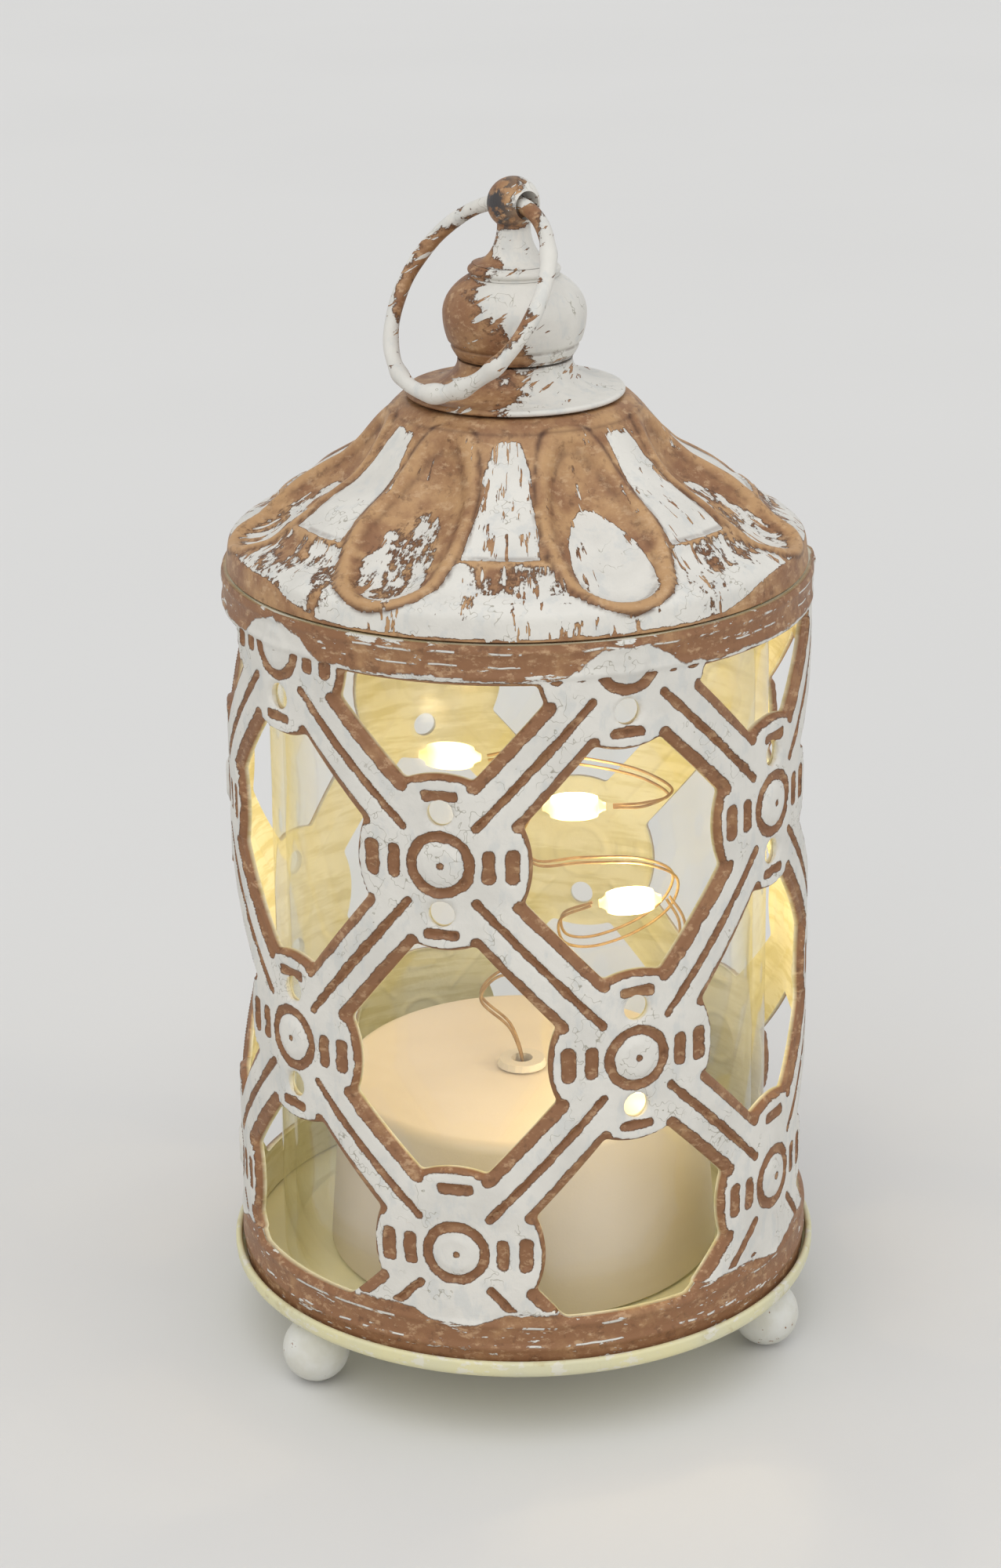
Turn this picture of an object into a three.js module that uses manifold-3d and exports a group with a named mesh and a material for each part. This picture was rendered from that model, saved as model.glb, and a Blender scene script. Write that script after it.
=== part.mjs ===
import * as THREE from 'three';
import { mergeVertices } from 'three/addons/utils/BufferGeometryUtils.js';
import Module from 'manifold-3d';

const wasm = await Module();
wasm.setup();

// Small pressed-metal lantern with a lift-off lid, a clear liner and a battery light unit.
// Millimetres, Z up, the table top is Z = 0 and the lantern's axis is the Z axis.
// Azimuths are in degrees, 0 at the front (-Y), growing towards the right (+X).

// General fits
const seat = 0.3;
const slip = 0.4;
const roundSides = 36;

// Feet
const footRadius = 4.2;
const footInset = 4.3;
const footCount = 3;
const firstFootAzimuth = -52;
const footStem = 0.6;
const footPadRadius = 1.0;
const footShankRadius = 1.0;
const footHeadRadius = 1.6;
const footHeadHeight = 0.7;

// Base pan
const panSheet = 0.8;
const panRimHeight = 2.3;

// Lattice cage
const cageRadius = 36.3;
const cageSheet = 1.0;
const cageHeight = 91.3;
const lowBandHeight = 6.2;
const highBandHeight = 5.0;
const bandBead = 0.35;
const medallionColumns = 5;
const firstColumnAzimuth = -13.0;
const rowShares = [0.166, 0.425, 0.71, 0.967];
const rowTurn = 0.9;
const patternTilt = 2.2;
const medallionRadius = 10.9;
const barWidth = 8.0;
const grooveWidth = 1.0;
const grooveDepth = 0.45;
const grooveEnd = 6.3;
const bossRadius = 2.9;
const bossRise = 0.6;
const eyeletRadius = 1.6;
const eyeletOffset = 6.25;

// Clear liner
const linerClearance = 4.2;
const linerWall = 1.6;
const linerTopGap = 2.3;

// Lid
const lidInset = 0.5;
const lidSheet = 0.8;
const lidRise = 20.3;
const lidTopRadius = 14.3;
const lidTopEdge = 0.3;
const dimpleCount = 7;
const firstDimpleAzimuth = -28.9;
const dimpleDepth = 2.2;
const dimpleHalfWidth = 5.4;
const dimpleMiddle = 0.42;
const dimpleDrop = 0.25;
const dimpleClimb = 0.4;
const dimpleTaper = 0.35;
const collarSheet = 0.9;
const collarDrop = 4.6;
const collarHeight = 5.5;

// Finial
const stemRadius = 1.5;
const stemEnd = 1.0;
const skirtRadius = 13.4;
const skirtNeckRadius = 7.0;
const skirtHeight = 4.3;
const skirtEdge = 0.7;
const finialBallRadius = 8.75;
const finialBallHeight = 9.8;
const finialWaistShare = 0.54;
const finialLowShare = 0.91;
const finialHighShare = 0.6;
const finialPinchShare = 0.77;
const collarDiscRadius = 5.65;
const collarDiscHeight = 1.0;
const collarDiscEdge = 0.3;
const eyeNeckFootRadius = 5.0;
const eyeNeckRadius = 2.0;
const eyeNeckHeight = 4.7;
const eyeRadius = 3.2;
const eyeHoleRadius = 1.75;
const washerRadius = 4.0;
const washerHeight = 0.8;
const nutRadius = 3.2;
const nutHeight = 2.4;

// Carry ring
const ringRadius = 12.66;
const ringWireRadius = 1.05;
const ringAzimuth = -52;
const ringLean = 33.5;

// Light unit, from its coin cells outwards
const cellRadius = 10;
const cellHeight = 3.2;
const cellEdge = 1.2;
const cellEdgeHeight = 0.6;
const cellEdgeBevel = 0.2;
const cellClearance = 1.3;
const cellGuideWall = 1.4;
const contactSheet = 0.3;
const contactWidth = 3;
const contactLeafShare = 0.75;
const contactTongueInset = 0.3;
const coverThickness = 1.4;
const coverNeckClearance = 2.0;
const coverNeckWall = 1.1;
const coverLip = 0.7;
const coverSlotWidth = 1.8;
const coverSlotDepth = 0.7;
const coverSlotShare = 0.6;
const lugRoot = 0.6;
const lugLength = 2.2;
const lugHeight = 1.0;
const lugSweep = 24;
const lugSlackAngle = 4;
const lugTurn = 40;
const lugChamberHeight = 2.5;
const lugChamberWall = 1.5;
const guideShelf = 1.2;
const guideHole = 3;
const contactSlotWidth = 1.4;
const boardOverhang = 1.7;
const boardThickness = 1.0;
const boardPostRadius = 1.2;
const boardPostHeight = 1.1;
const boardPostInset = 1.8;
const boardPostRoot = 0.5;
const chipWidth = 4;
const chipLength = 5;
const chipHeight = 1.5;
const chipPlace = 5.5;
const crystalRadius = 1;
const crystalHeight = 4.5;
const crystalPlace = 7.1;
const crystalAzimuth = 129;
const unitPostRadius = 2.5;
const unitPostClearance = 0.6;
const unitScrewRadius = 1.0;
const unitScrewHeadRadius = 1.9;
const unitScrewHead = 0.9;
const unitScrewHeadEdge = 0.4;
const unitScrewLength = 7;
const unitPlateRim = 1.5;
const unitPlate = 1.6;
const unitWall = 1.4;
const unitTaper = 1.6;
const unitHeight = 22.9;
const unitFootLip = 0.2;
const unitFootLipHeight = 3;
const unitEdge = 1.4;
const unitEdgeStep = 0.5;
const unitEdgeHeight = 1.2;
const unitEdgeStepHeight = 0.35;
const unitInnerEdge = 0.8;
const switchClearance = 1.0;
const switchLength = 8.0;
const switchWidth = 3.8;
const switchHeight = 3.6;
const switchWell = 2.0;
const knobLength = 2.2;
const knobWidth = 1.5;
const knobDrop = 0.8;
const switchTravel = 3.0;
const grommetRadius = 2.1;
const grommetBore = 1.4;
const grommetFlange = 3.2;
const grommetFlangeHeight = 0.8;
const grommetFlangeEdge = 0.3;

// Light string
const wireRadius = 0.25;
const wireSpacing = 0.9;
const ledLength = 8;
const ledRadius = 1.8;
const ledShoulderRadius = 1.53;
const ledNeckRadius = 0.9;
const ledTipRadius = 0.55;
const ledMiddleLength = 1.8;
const ledShoulderLength = 1.9;
const ledNeckLength = 0.9;
const leadRun = 3;
const leadRise = 0.4;

// Radii and heights that follow from the cage
const cageInner = cageRadius - cageSheet;
const panRadius = cageRadius + slip + panSheet;
const footPlaceRadius = panRadius - footInset;
const linerRadius = cageInner - linerClearance;
const linerHeight = cageHeight - linerTopGap;
const lidRadius = cageRadius - lidInset;

// Radii and places that follow from the coin cells
const cellGuideRadius = cellRadius + cellClearance;
const coverNeckRadius = cellRadius + coverNeckClearance;
const coverRadius = coverNeckRadius + coverLip;
const lugReach = coverNeckRadius + lugLength;
const chamberRadius = lugReach + slip;
const chamberOuter = chamberRadius + lugChamberWall;
const boardRadius = cellGuideRadius + boardOverhang;
const unitScrewPlace = chamberOuter + unitPostClearance + unitPostRadius;
const switchPlace = chamberOuter + switchClearance + switchWidth / 2;
const unitPlateRadius = unitScrewPlace + unitPostRadius + unitPlateRim;
const unitFootRadius = unitPlateRadius + slip + unitWall;
const unitTopRadius = unitFootRadius - unitTaper;
const accessHoleRadius = unitScrewPlace + unitScrewHeadRadius + slip;

// Heights that follow from the sizes above
const panBottom = 2 * footRadius + footStem;
const panFloor = panBottom + panSheet;
const cageBottom = panFloor + seat;
const cageTop = cageBottom + cageHeight;
const lidBottom = cageTop + seat;
const lidTop = lidBottom + lidRise;
const skirtBottom = lidTop + seat;
const ballBottom = skirtBottom + skirtHeight + seat;
const discBottom = ballBottom + finialBallHeight + seat;
const neckBottom = discBottom + collarDiscHeight + seat;
const eyeHeight = neckBottom + eyeNeckHeight + Math.sqrt(eyeRadius ** 2 - eyeNeckRadius ** 2);
const unitBottom = panFloor + seat;
const unitTop = unitBottom + unitHeight;
const plateTop = unitBottom + unitPlate;
const stemBore = stemRadius + seat;

// The room inside the liner that the light string's bends and lamps are placed in
const roomRadius = linerRadius - linerWall;
const roomHeight = cageBottom + linerHeight - unitTop;

const whitePaint = { color: 0xcdcfc8, roughness: 0.7, metalness: 0.1 };
const brownPaint = { color: 0x96694b, roughness: 0.75, metalness: 0.1 };
const cream = { color: 0xe2dcbe, roughness: 0.6, metalness: 0.1 };
const clear = { color: 0xe8f0f0, roughness: 0.05, metalness: 0 };
const whitePlastic = { color: 0xe8e2d4, roughness: 0.5, metalness: 0 };
const steel = { color: 0xb4b6b8, roughness: 0.35, metalness: 1 };
const brass = { color: 0xc8a45a, roughness: 0.35, metalness: 1 };
const copper = { color: 0xc07a48, roughness: 0.3, metalness: 1 };
const greenBoard = { color: 0x2c6b45, roughness: 0.6, metalness: 0 };
const darkPlastic = { color: 0x24262a, roughness: 0.6, metalness: 0 };
const warmResin = { color: 0xffd98a, roughness: 0.15, metalness: 0 };

const lantern = new THREE.Group();
lantern.name = 'led_lantern_ornament';

function rad(degrees) {
  return (degrees * Math.PI) / 180;
}

// A point at a radius, azimuth and height.
function polar(radius, azimuth, height) {
  const a = rad(azimuth);
  return new THREE.Vector3(radius * Math.sin(a), -radius * Math.cos(a), height);
}

function add(name, geometry, look) {
  geometry.computeVertexNormals();
  const mesh = new THREE.Mesh(geometry, new THREE.MeshStandardMaterial(look));
  mesh.name = name;
  lantern.add(mesh);
}

function toSolid(geometry) {
  const bare = geometry.index ? geometry.clone() : geometry;
  bare.deleteAttribute('normal');
  bare.deleteAttribute('uv');
  const merged = mergeVertices(bare, 1e-4);
  return new wasm.Manifold(new wasm.Mesh({
    numProp: 3,
    vertProperties: new Float32Array(merged.attributes.position.array),
    triVerts: new Uint32Array(merged.index.array),
  }));
}

function toGeometry(solid) {
  const mesh = solid.getMesh();
  const geometry = new THREE.BufferGeometry();
  geometry.setAttribute('position', new THREE.BufferAttribute(new Float32Array(mesh.vertProperties), 3));
  geometry.setIndex(new THREE.BufferAttribute(new Uint32Array(mesh.triVerts), 1));
  return geometry;
}

// Turns a profile of [radius, height] points round the Z axis. A profile that doesn't start
// and end on the axis is closed on itself.
function turned(profile, sides) {
  const onAxis = profile[0][0] === 0 && profile[profile.length - 1][0] === 0;
  let area = 0;
  for (let i = 0; i < profile.length; i += 1) {
    const a = profile[i];
    const b = profile[(i + 1) % profile.length];
    area += a[0] * b[1] - b[0] * a[1];
  }
  const ordered = area > 0 ? [...profile] : [...profile].reverse();
  if (!onAxis) {
    ordered.push(ordered[0]);
  }
  const points = ordered.map(([r, z]) => new THREE.Vector2(r, z));
  const geometry = new THREE.LatheGeometry(points, sides);
  geometry.rotateX(Math.PI / 2);
  geometry.deleteAttribute('normal');
  geometry.deleteAttribute('uv');
  return mergeVertices(dropSlivers(geometry), 1e-4);
}

// Leaves out the faces that shrink to nothing on the axis.
function dropSlivers(geometry) {
  const flat = geometry.index ? geometry.toNonIndexed() : geometry;
  const p = flat.attributes.position;
  const kept = [];
  const a = new THREE.Vector3();
  const b = new THREE.Vector3();
  const c = new THREE.Vector3();
  for (let i = 0; i < p.count; i += 3) {
    a.fromBufferAttribute(p, i);
    b.fromBufferAttribute(p, i + 1);
    c.fromBufferAttribute(p, i + 2);
    if (a.distanceTo(b) > 1e-5 && b.distanceTo(c) > 1e-5 && c.distanceTo(a) > 1e-5) {
      kept.push(a.x, a.y, a.z, b.x, b.y, b.z, c.x, c.y, c.z);
    }
  }
  const out = new THREE.BufferGeometry();
  out.setAttribute('position', new THREE.BufferAttribute(new Float32Array(kept), 3));
  return out;
}

function rod(radius, bottom, top, sides, x = 0, y = 0) {
  const geometry = new THREE.CylinderGeometry(radius, radius, top - bottom, sides);
  geometry.rotateX(Math.PI / 2);
  geometry.translate(x, y, (top + bottom) / 2);
  return geometry;
}

function block(sizeX, sizeY, bottom, top, x = 0, y = 0) {
  const geometry = new THREE.BoxGeometry(sizeX, sizeY, top - bottom);
  geometry.translate(x, y, (top + bottom) / 2);
  return geometry;
}

// A prism that points outwards through the cage wall at an azimuth and height. Its outline is
// drawn as [along the wall, up] points, and it reaches from one radius to another.
function wallPrism(outline, azimuth, height, inner, outer) {
  const shape = new THREE.Shape(outline.map(([x, y]) => new THREE.Vector2(x, y)));
  const geometry = new THREE.ExtrudeGeometry(shape, { depth: outer - inner, bevelEnabled: false });
  geometry.rotateX(Math.PI / 2);
  geometry.translate(0, -inner, height);
  geometry.rotateZ(rad(azimuth));
  return toSolid(geometry);
}

function circleOutline(radius, sides, x = 0, y = 0) {
  const points = [];
  for (let i = 0; i < sides; i += 1) {
    const a = (2 * Math.PI * (i + 0.5)) / sides;
    points.push([x + radius * Math.cos(a), y + radius * Math.sin(a)]);
  }
  return points;
}

// A strip of a width and length, turned to run between two points of the wall.
function stripOutline(length, width, slope) {
  const alongX = Math.cos(slope);
  const alongY = Math.sin(slope);
  const corners = [[-1, -1], [1, -1], [1, 1], [-1, 1]];
  return corners.map(([a, b]) => [
    (a * length * alongX - b * width * alongY) / 2,
    (a * length * alongY + b * width * alongX) / 2,
  ]);
}

function addFeet() {
  const headBottom = panFloor + seat;
  const collarRadius = footShankRadius + slip;
  const stemBottom = footRadius + Math.sqrt(footRadius ** 2 - collarRadius ** 2);
  const ballSteps = 6;
  const profile = [[0, 0], [footPadRadius, 0]];
  for (let k = 1; k < ballSteps; k += 1) {
    const a = rad(-90 + (180 * k) / ballSteps);
    profile.push([footRadius * Math.cos(a), footRadius + footRadius * Math.sin(a)]);
  }
  profile.push([collarRadius, stemBottom], [collarRadius, panBottom - seat]);
  profile.push([footShankRadius, panBottom - seat], [footShankRadius, headBottom]);
  profile.push([footHeadRadius, headBottom], [footHeadRadius, headBottom + footHeadHeight]);
  profile.push([0, headBottom + footHeadHeight]);
  for (let i = 0; i < footCount; i += 1) {
    const geometry = turned(profile, 12);
    const place = polar(footPlaceRadius, firstFootAzimuth + (360 * i) / footCount, 0);
    geometry.translate(place.x, place.y, 0);
    add(`foot_${i + 1}`, geometry, whitePaint);
  }
}

function addBasePan() {
  const rimInner = panRadius - panSheet;
  let pan = toSolid(turned([
    [accessHoleRadius, panBottom],
    [rimInner, panBottom],
    [panRadius, panBottom + panSheet],
    [panRadius, panBottom + panRimHeight],
    [rimInner, panBottom + panRimHeight],
    [rimInner, panFloor],
    [accessHoleRadius, panFloor],
  ], roundSides));
  for (let i = 0; i < footCount; i += 1) {
    const place = polar(footPlaceRadius, firstFootAzimuth + (360 * i) / footCount, 0);
    const hole = rod(footShankRadius + seat, panBottom - 1, panFloor + 1, 12, place.x, place.y);
    pan = pan.subtract(toSolid(hole));
  }
  add('base_pan', toGeometry(pan), cream);
}

// Where a medallion sits on the wall: its row counts from the lowest, and its place along the
// row counts half the way from one column to the next. The pressed pattern leans a little.
function medallionPlace(row, place) {
  const azimuth = firstColumnAzimuth + (180 / medallionColumns) * place - rowTurn * row;
  const level = cageBottom + rowShares[row] * cageHeight;
  const lift = cageRadius * Math.tan(rad(patternTilt));
  return [azimuth, level + lift * Math.sin(rad(azimuth))];
}

function addCage() {
  const bottom = cageBottom;
  const lowBandTop = bottom + lowBandHeight;
  const highBandBottom = cageTop - highBandHeight;
  const beadOut = cageRadius + bandBead;
  const wall = toSolid(turned([
    [cageInner, bottom],
    [cageRadius, bottom],
    [cageRadius, cageTop],
    [cageInner, cageTop],
  ], roundSides));
  const lowBand = toSolid(turned([
    [cageInner, bottom],
    [cageRadius, bottom],
    [cageRadius, lowBandTop - 2 * bandBead],
    [beadOut, lowBandTop - bandBead],
    [cageRadius, lowBandTop],
    [cageInner, lowBandTop],
  ], roundSides));
  const highBand = toSolid(turned([
    [cageInner, highBandBottom],
    [cageRadius, highBandBottom],
    [beadOut, highBandBottom + 2 * bandBead],
    [cageRadius, highBandBottom + 4 * bandBead],
    [cageRadius, cageTop - 2 * bandBead],
    [beadOut, cageTop - bandBead],
    [cageRadius, cageTop],
    [cageInner, cageTop],
  ], roundSides));
  const from = cageInner / 2;
  const to = cageRadius * 1.2;
  const groovedTo = cageRadius - grooveDepth;
  const topRow = rowShares.length - 1;
  const strips = [];
  const grooves = [];
  const bosses = [];
  const eyelets = [];
  for (let row = 0; row <= topRow; row += 1) {
    for (let k = 0; k < medallionColumns; k += 1) {
      const place = 2 * k + (row % 2);
      const [azimuth, height] = medallionPlace(row, place);
      strips.push(wallPrism(circleOutline(medallionRadius, 16), azimuth, height, from, to));
      const boss = circleOutline(bossRadius, 12);
      bosses.push(wallPrism(boss, azimuth, height, cageInner + grooveDepth, cageRadius + bossRise));
      const hole = circleOutline(eyeletRadius, 8);
      if (row > 0) {
        eyelets.push(wallPrism(hole, azimuth, height - eyeletOffset, from, to));
      }
      if (row > 0 && row < topRow) {
        eyelets.push(wallPrism(hole, azimuth, height + eyeletOffset, from, to));
      }
      if (row === topRow) {
        continue;
      }
      for (const side of [-1, 1]) {
        const [farAzimuth, farHeight] = medallionPlace(row + 1, place + side);
        const turn = farAzimuth - azimuth;
        const run = 2 * cageRadius * Math.sin(rad(turn / 2));
        const rise = farHeight - height;
        const slope = Math.atan2(rise, run);
        const length = Math.hypot(run, rise);
        const bar = stripOutline(length, barWidth, slope);
        strips.push(wallPrism(bar, azimuth + turn / 2, height + rise / 2, from, to));
        const cut = stripOutline(length - 2 * grooveEnd, grooveWidth, slope);
        grooves.push(wallPrism(cut, azimuth + turn / 2, height + rise / 2, groovedTo, to));
        if (row === 0) {
          const drop = height - bottom - lowBandHeight / 2;
          const across = (drop * run) / rise;
          const leg = stripOutline(Math.hypot(across, drop), barWidth, -slope);
          const legAzimuth = azimuth + (across / (2 * cageRadius)) * (180 / Math.PI);
          strips.push(wallPrism(leg, legAzimuth, height - drop / 2, from, to));
        }
      }
    }
  }
  const lattice = wall.intersect(wasm.Manifold.union(strips));
  const underLid = toSolid(rod(to, bottom, cageTop, roundSides));
  const cage = wasm.Manifold.union([lattice, lowBand, highBand])
    .subtract(wasm.Manifold.union([...grooves, ...eyelets]))
    .add(wasm.Manifold.union(bosses).intersect(underLid));
  add('lattice_cage', toGeometry(cage), whitePaint);
}

function addLiner() {
  const inner = linerRadius - linerWall;
  add('clear_liner', turned([
    [inner, cageBottom],
    [linerRadius, cageBottom],
    [linerRadius, cageBottom + linerHeight],
    [inner, cageBottom + linerHeight],
  ], roundSides), clear);
}

// The lid's outer line from its edge up to the flat under the finial, as [radius, height].
function lidLine() {
  const h = (share) => lidBottom + share * lidRise;
  const r = (share) => lidTopRadius + share * (lidRadius - lidTopRadius);
  return [
    [lidRadius, lidBottom],
    [r(0.985), h(0.14)],
    [r(0.92), h(0.196)],
    [r(0.8), h(0.25)],
    [r(0.68), h(0.367)],
    [r(0.55), h(0.475)],
    [r(0.43), h(0.55)],
    [r(0.32), h(0.615)],
    [r(0.22), h(0.715)],
    [r(0.12), h(0.85)],
    [r(0.04), h(0.945)],
    [lidTopRadius, lidTop - lidTopEdge],
  ];
}

// How deep an egg-shaped dimple presses the lid in, at a share of the way up its slope.
function dimpleAt(share, radius, azimuth) {
  const pitch = 360 / dimpleCount;
  const turns = (azimuth - firstDimpleAzimuth) / pitch;
  const off = (turns - Math.round(turns)) * pitch;
  const above = share - dimpleMiddle;
  const along = above / (above < 0 ? dimpleDrop : dimpleClimb);
  const width = dimpleHalfWidth * (1 - dimpleTaper * Math.min(Math.max(along, 0), 1));
  const across = (rad(off) * radius) / width;
  const reach = across ** 2 + along ** 2;
  return reach < 1 ? dimpleDepth * (1 - reach) ** 0.6 : 0;
}

function addLid() {
  const sides = 9 * dimpleCount;
  const line = lidLine();
  const last = line.length - 1;
  const positions = [];
  const faces = [];
  const put = (v) => {
    positions.push(v.x, v.y, v.z);
    return positions.length / 3 - 1;
  };
  const normals = line.map((point, i) => {
    const a = line[Math.max(i - 1, 0)];
    const b = line[Math.min(i + 1, last)];
    const length = Math.hypot(b[0] - a[0], b[1] - a[1]);
    return [(b[1] - a[1]) / length, (a[0] - b[0]) / length];
  });
  normals[0] = [1, 0];
  const rings = [];
  const ring = (radius, height, pressed) => {
    const row = [];
    for (let k = 0; k < sides; k += 1) {
      const azimuth = firstDimpleAzimuth + (360 * k) / sides;
      const [r, z] = pressed(azimuth, radius, height);
      row.push(put(polar(r, azimuth, z)));
    }
    rings.push(row);
  };
  const flat = (azimuth, radius, height) => [radius, height];
  for (let i = 0; i <= last; i += 1) {
    const pressed = (azimuth, radius, height) => {
      const depth = dimpleAt(i / last, radius, azimuth);
      return [radius - depth * normals[i][0], height - depth * normals[i][1]];
    };
    ring(line[i][0], line[i][1], pressed);
  }
  ring(lidTopRadius - 2 * lidTopEdge, lidTop, flat);
  ring(stemBore, lidTop, flat);
  ring(stemBore, lidTop - lidSheet, flat);
  ring(lidTopRadius - 3 * lidTopEdge, lidTop - lidSheet, flat);
  for (let i = last; i >= 0; i -= 1) {
    const pressed = (azimuth, radius, height) => {
      const depth = dimpleAt(i / last, radius, azimuth) + lidSheet;
      return [radius - depth * normals[i][0], height - depth * normals[i][1]];
    };
    ring(line[i][0], line[i][1], pressed);
  }
  for (let j = 0; j < rings.length; j += 1) {
    const lower = rings[j];
    const upper = rings[(j + 1) % rings.length];
    for (let k = 0; k < sides; k += 1) {
      const n = (k + 1) % sides;
      faces.push(lower[k], lower[n], upper[n], lower[k], upper[n], upper[k]);
    }
  }
  const geometry = new THREE.BufferGeometry();
  geometry.setAttribute('position', new THREE.BufferAttribute(new Float32Array(positions), 3));
  geometry.setIndex(faces);
  add('lid', toGeometry(toSolid(geometry)), brownPaint);
}

function addLidCollar() {
  const outer = lidRadius - lidSheet - seat;
  const bottom = cageTop - collarDrop;
  add('lid_collar', turned([
    [outer - collarSheet, bottom],
    [outer, bottom],
    [outer, bottom + collarHeight],
    [outer - collarSheet, bottom + collarHeight],
  ], roundSides), brownPaint);
}

function addFinial() {
  const rise = skirtHeight - skirtEdge;
  const skirt = [[stemBore, skirtBottom], [skirtRadius, skirtBottom]];
  skirt.push([skirtRadius, skirtBottom + skirtEdge]);
  const flareSteps = 5;
  for (let i = 1; i <= flareSteps; i += 1) {
    const a = rad((90 * i) / flareSteps);
    const r = skirtNeckRadius + (skirtRadius - skirtNeckRadius) * (1 - Math.sin(a));
    skirt.push([r, skirtBottom + skirtEdge + rise * (1 - Math.cos(a))]);
  }
  skirt.push([stemBore, skirtBottom + skirtHeight]);
  add('finial_skirt', turned(skirt, 28), brownPaint);

  const waist = ballBottom + finialWaistShare * finialBallHeight;
  const ball = [[stemBore, ballBottom]];
  const ballSteps = 10;
  for (let i = 0; i <= ballSteps; i += 1) {
    const z = ballBottom + (finialBallHeight * i) / ballSteps;
    const half = (z < waist ? finialLowShare : finialHighShare) * finialBallHeight;
    const share = Math.min(Math.abs(z - waist) / half, finialPinchShare);
    ball.push([finialBallRadius * Math.sqrt(1 - share * share), z]);
  }
  ball.push([stemBore, ballBottom + finialBallHeight]);
  add('finial_ball', turned(ball, 28), whitePaint);

  add('finial_collar', turned([
    [stemBore, discBottom],
    [collarDiscRadius - collarDiscEdge, discBottom],
    [collarDiscRadius, discBottom + collarDiscHeight / 2],
    [collarDiscRadius - collarDiscEdge, discBottom + collarDiscHeight],
    [stemBore, discBottom + collarDiscHeight],
  ], 24), whitePaint);
}

// The eye's hole runs level, along the ring's wire where it passes through.
function holeAxis() {
  const a = rad(ringAzimuth + 90);
  return new THREE.Vector3(Math.sin(a), -Math.cos(a), 0);
}

function addEyeStem() {
  const nutBottom = lidTop - lidSheet - seat - washerHeight - seat - nutHeight;
  const shankBottom = nutBottom - stemEnd;
  const stem = [[0, shankBottom], [stemRadius, shankBottom], [stemRadius, neckBottom]];
  const flareSteps = 4;
  for (let i = 0; i <= flareSteps; i += 1) {
    const a = rad((90 * i) / flareSteps);
    const r = eyeNeckRadius + (eyeNeckFootRadius - eyeNeckRadius) * (1 - Math.sin(a));
    stem.push([r, neckBottom + eyeNeckHeight * (1 - Math.cos(a))]);
  }
  stem.push([eyeNeckRadius, eyeHeight], [0, eyeHeight]);
  const ball = new THREE.SphereGeometry(eyeRadius, 16, 12);
  ball.rotateX(Math.PI / 2);
  ball.translate(0, 0, eyeHeight);
  const hole = new THREE.CylinderGeometry(eyeHoleRadius, eyeHoleRadius, 4 * eyeRadius, 14);
  hole.applyQuaternion(new THREE.Quaternion().setFromUnitVectors(new THREE.Vector3(0, 1, 0), holeAxis()));
  hole.translate(0, 0, eyeHeight);
  const eye = toSolid(turned(stem, 16)).add(toSolid(ball)).subtract(toSolid(hole));
  add('eye_stem', toGeometry(eye), brownPaint);

  const washerTop = lidTop - lidSheet - seat;
  add('stem_washer', turned([
    [stemBore, washerTop - washerHeight],
    [washerRadius, washerTop - washerHeight],
    [washerRadius, washerTop],
    [stemBore, washerTop],
  ], 20), steel);
  const nut = toSolid(rod(nutRadius, nutBottom, nutBottom + nutHeight, 6))
    .subtract(toSolid(rod(stemBore, nutBottom - 1, nutBottom + nutHeight + 1, 14)));
  add('stem_nut', toGeometry(nut), steel);
}

function addCarryRing() {
  const geometry = new THREE.TorusGeometry(ringRadius, ringWireRadius, 8, 40);
  geometry.translate(0, -ringRadius, 0);
  geometry.rotateX(Math.PI / 2);
  geometry.rotateX(rad(-ringLean));
  geometry.rotateZ(rad(ringAzimuth));
  geometry.translate(0, 0, eyeHeight);
  geometry.deleteAttribute('normal');
  geometry.deleteAttribute('uv');
  add('carry_ring', mergeVertices(geometry, 1e-4), whitePaint);
}

const screwAzimuths = [0, 180];
const switchAzimuth = 90;
const noseAzimuth = 45;

function addUnitHousing() {
  const innerFoot = unitFootRadius - unitWall;
  const innerTop = unitTopRadius - unitWall;
  let housing = toSolid(turned([
    [innerFoot, unitBottom],
    [unitFootRadius, unitBottom],
    [unitFootRadius - unitFootLip, unitBottom + unitFootLipHeight],
    [unitTopRadius, unitTop - unitEdgeHeight],
    [unitTopRadius - unitEdgeStep, unitTop - unitEdgeStepHeight],
    [unitTopRadius - unitEdge, unitTop],
    [grommetRadius + seat, unitTop],
    [grommetRadius + seat, unitTop - unitWall],
    [innerTop - unitInnerEdge, unitTop - unitWall],
    [innerTop, unitTop - unitWall - unitInnerEdge],
  ], roundSides));
  for (const azimuth of screwAzimuths) {
    const place = polar(unitScrewPlace, azimuth, 0);
    const post = rod(unitPostRadius, plateTop + seat, unitTop - unitWall / 2, 12, place.x, place.y);
    const boreTop = plateTop + unitScrewLength + 2 * unitScrewRadius;
    const bore = rod(unitScrewRadius + seat, plateTop, boreTop, 10, place.x, place.y);
    housing = housing.add(toSolid(post)).subtract(toSolid(bore));
  }
  add('unit_housing', toGeometry(housing), whitePlastic);
}

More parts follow.
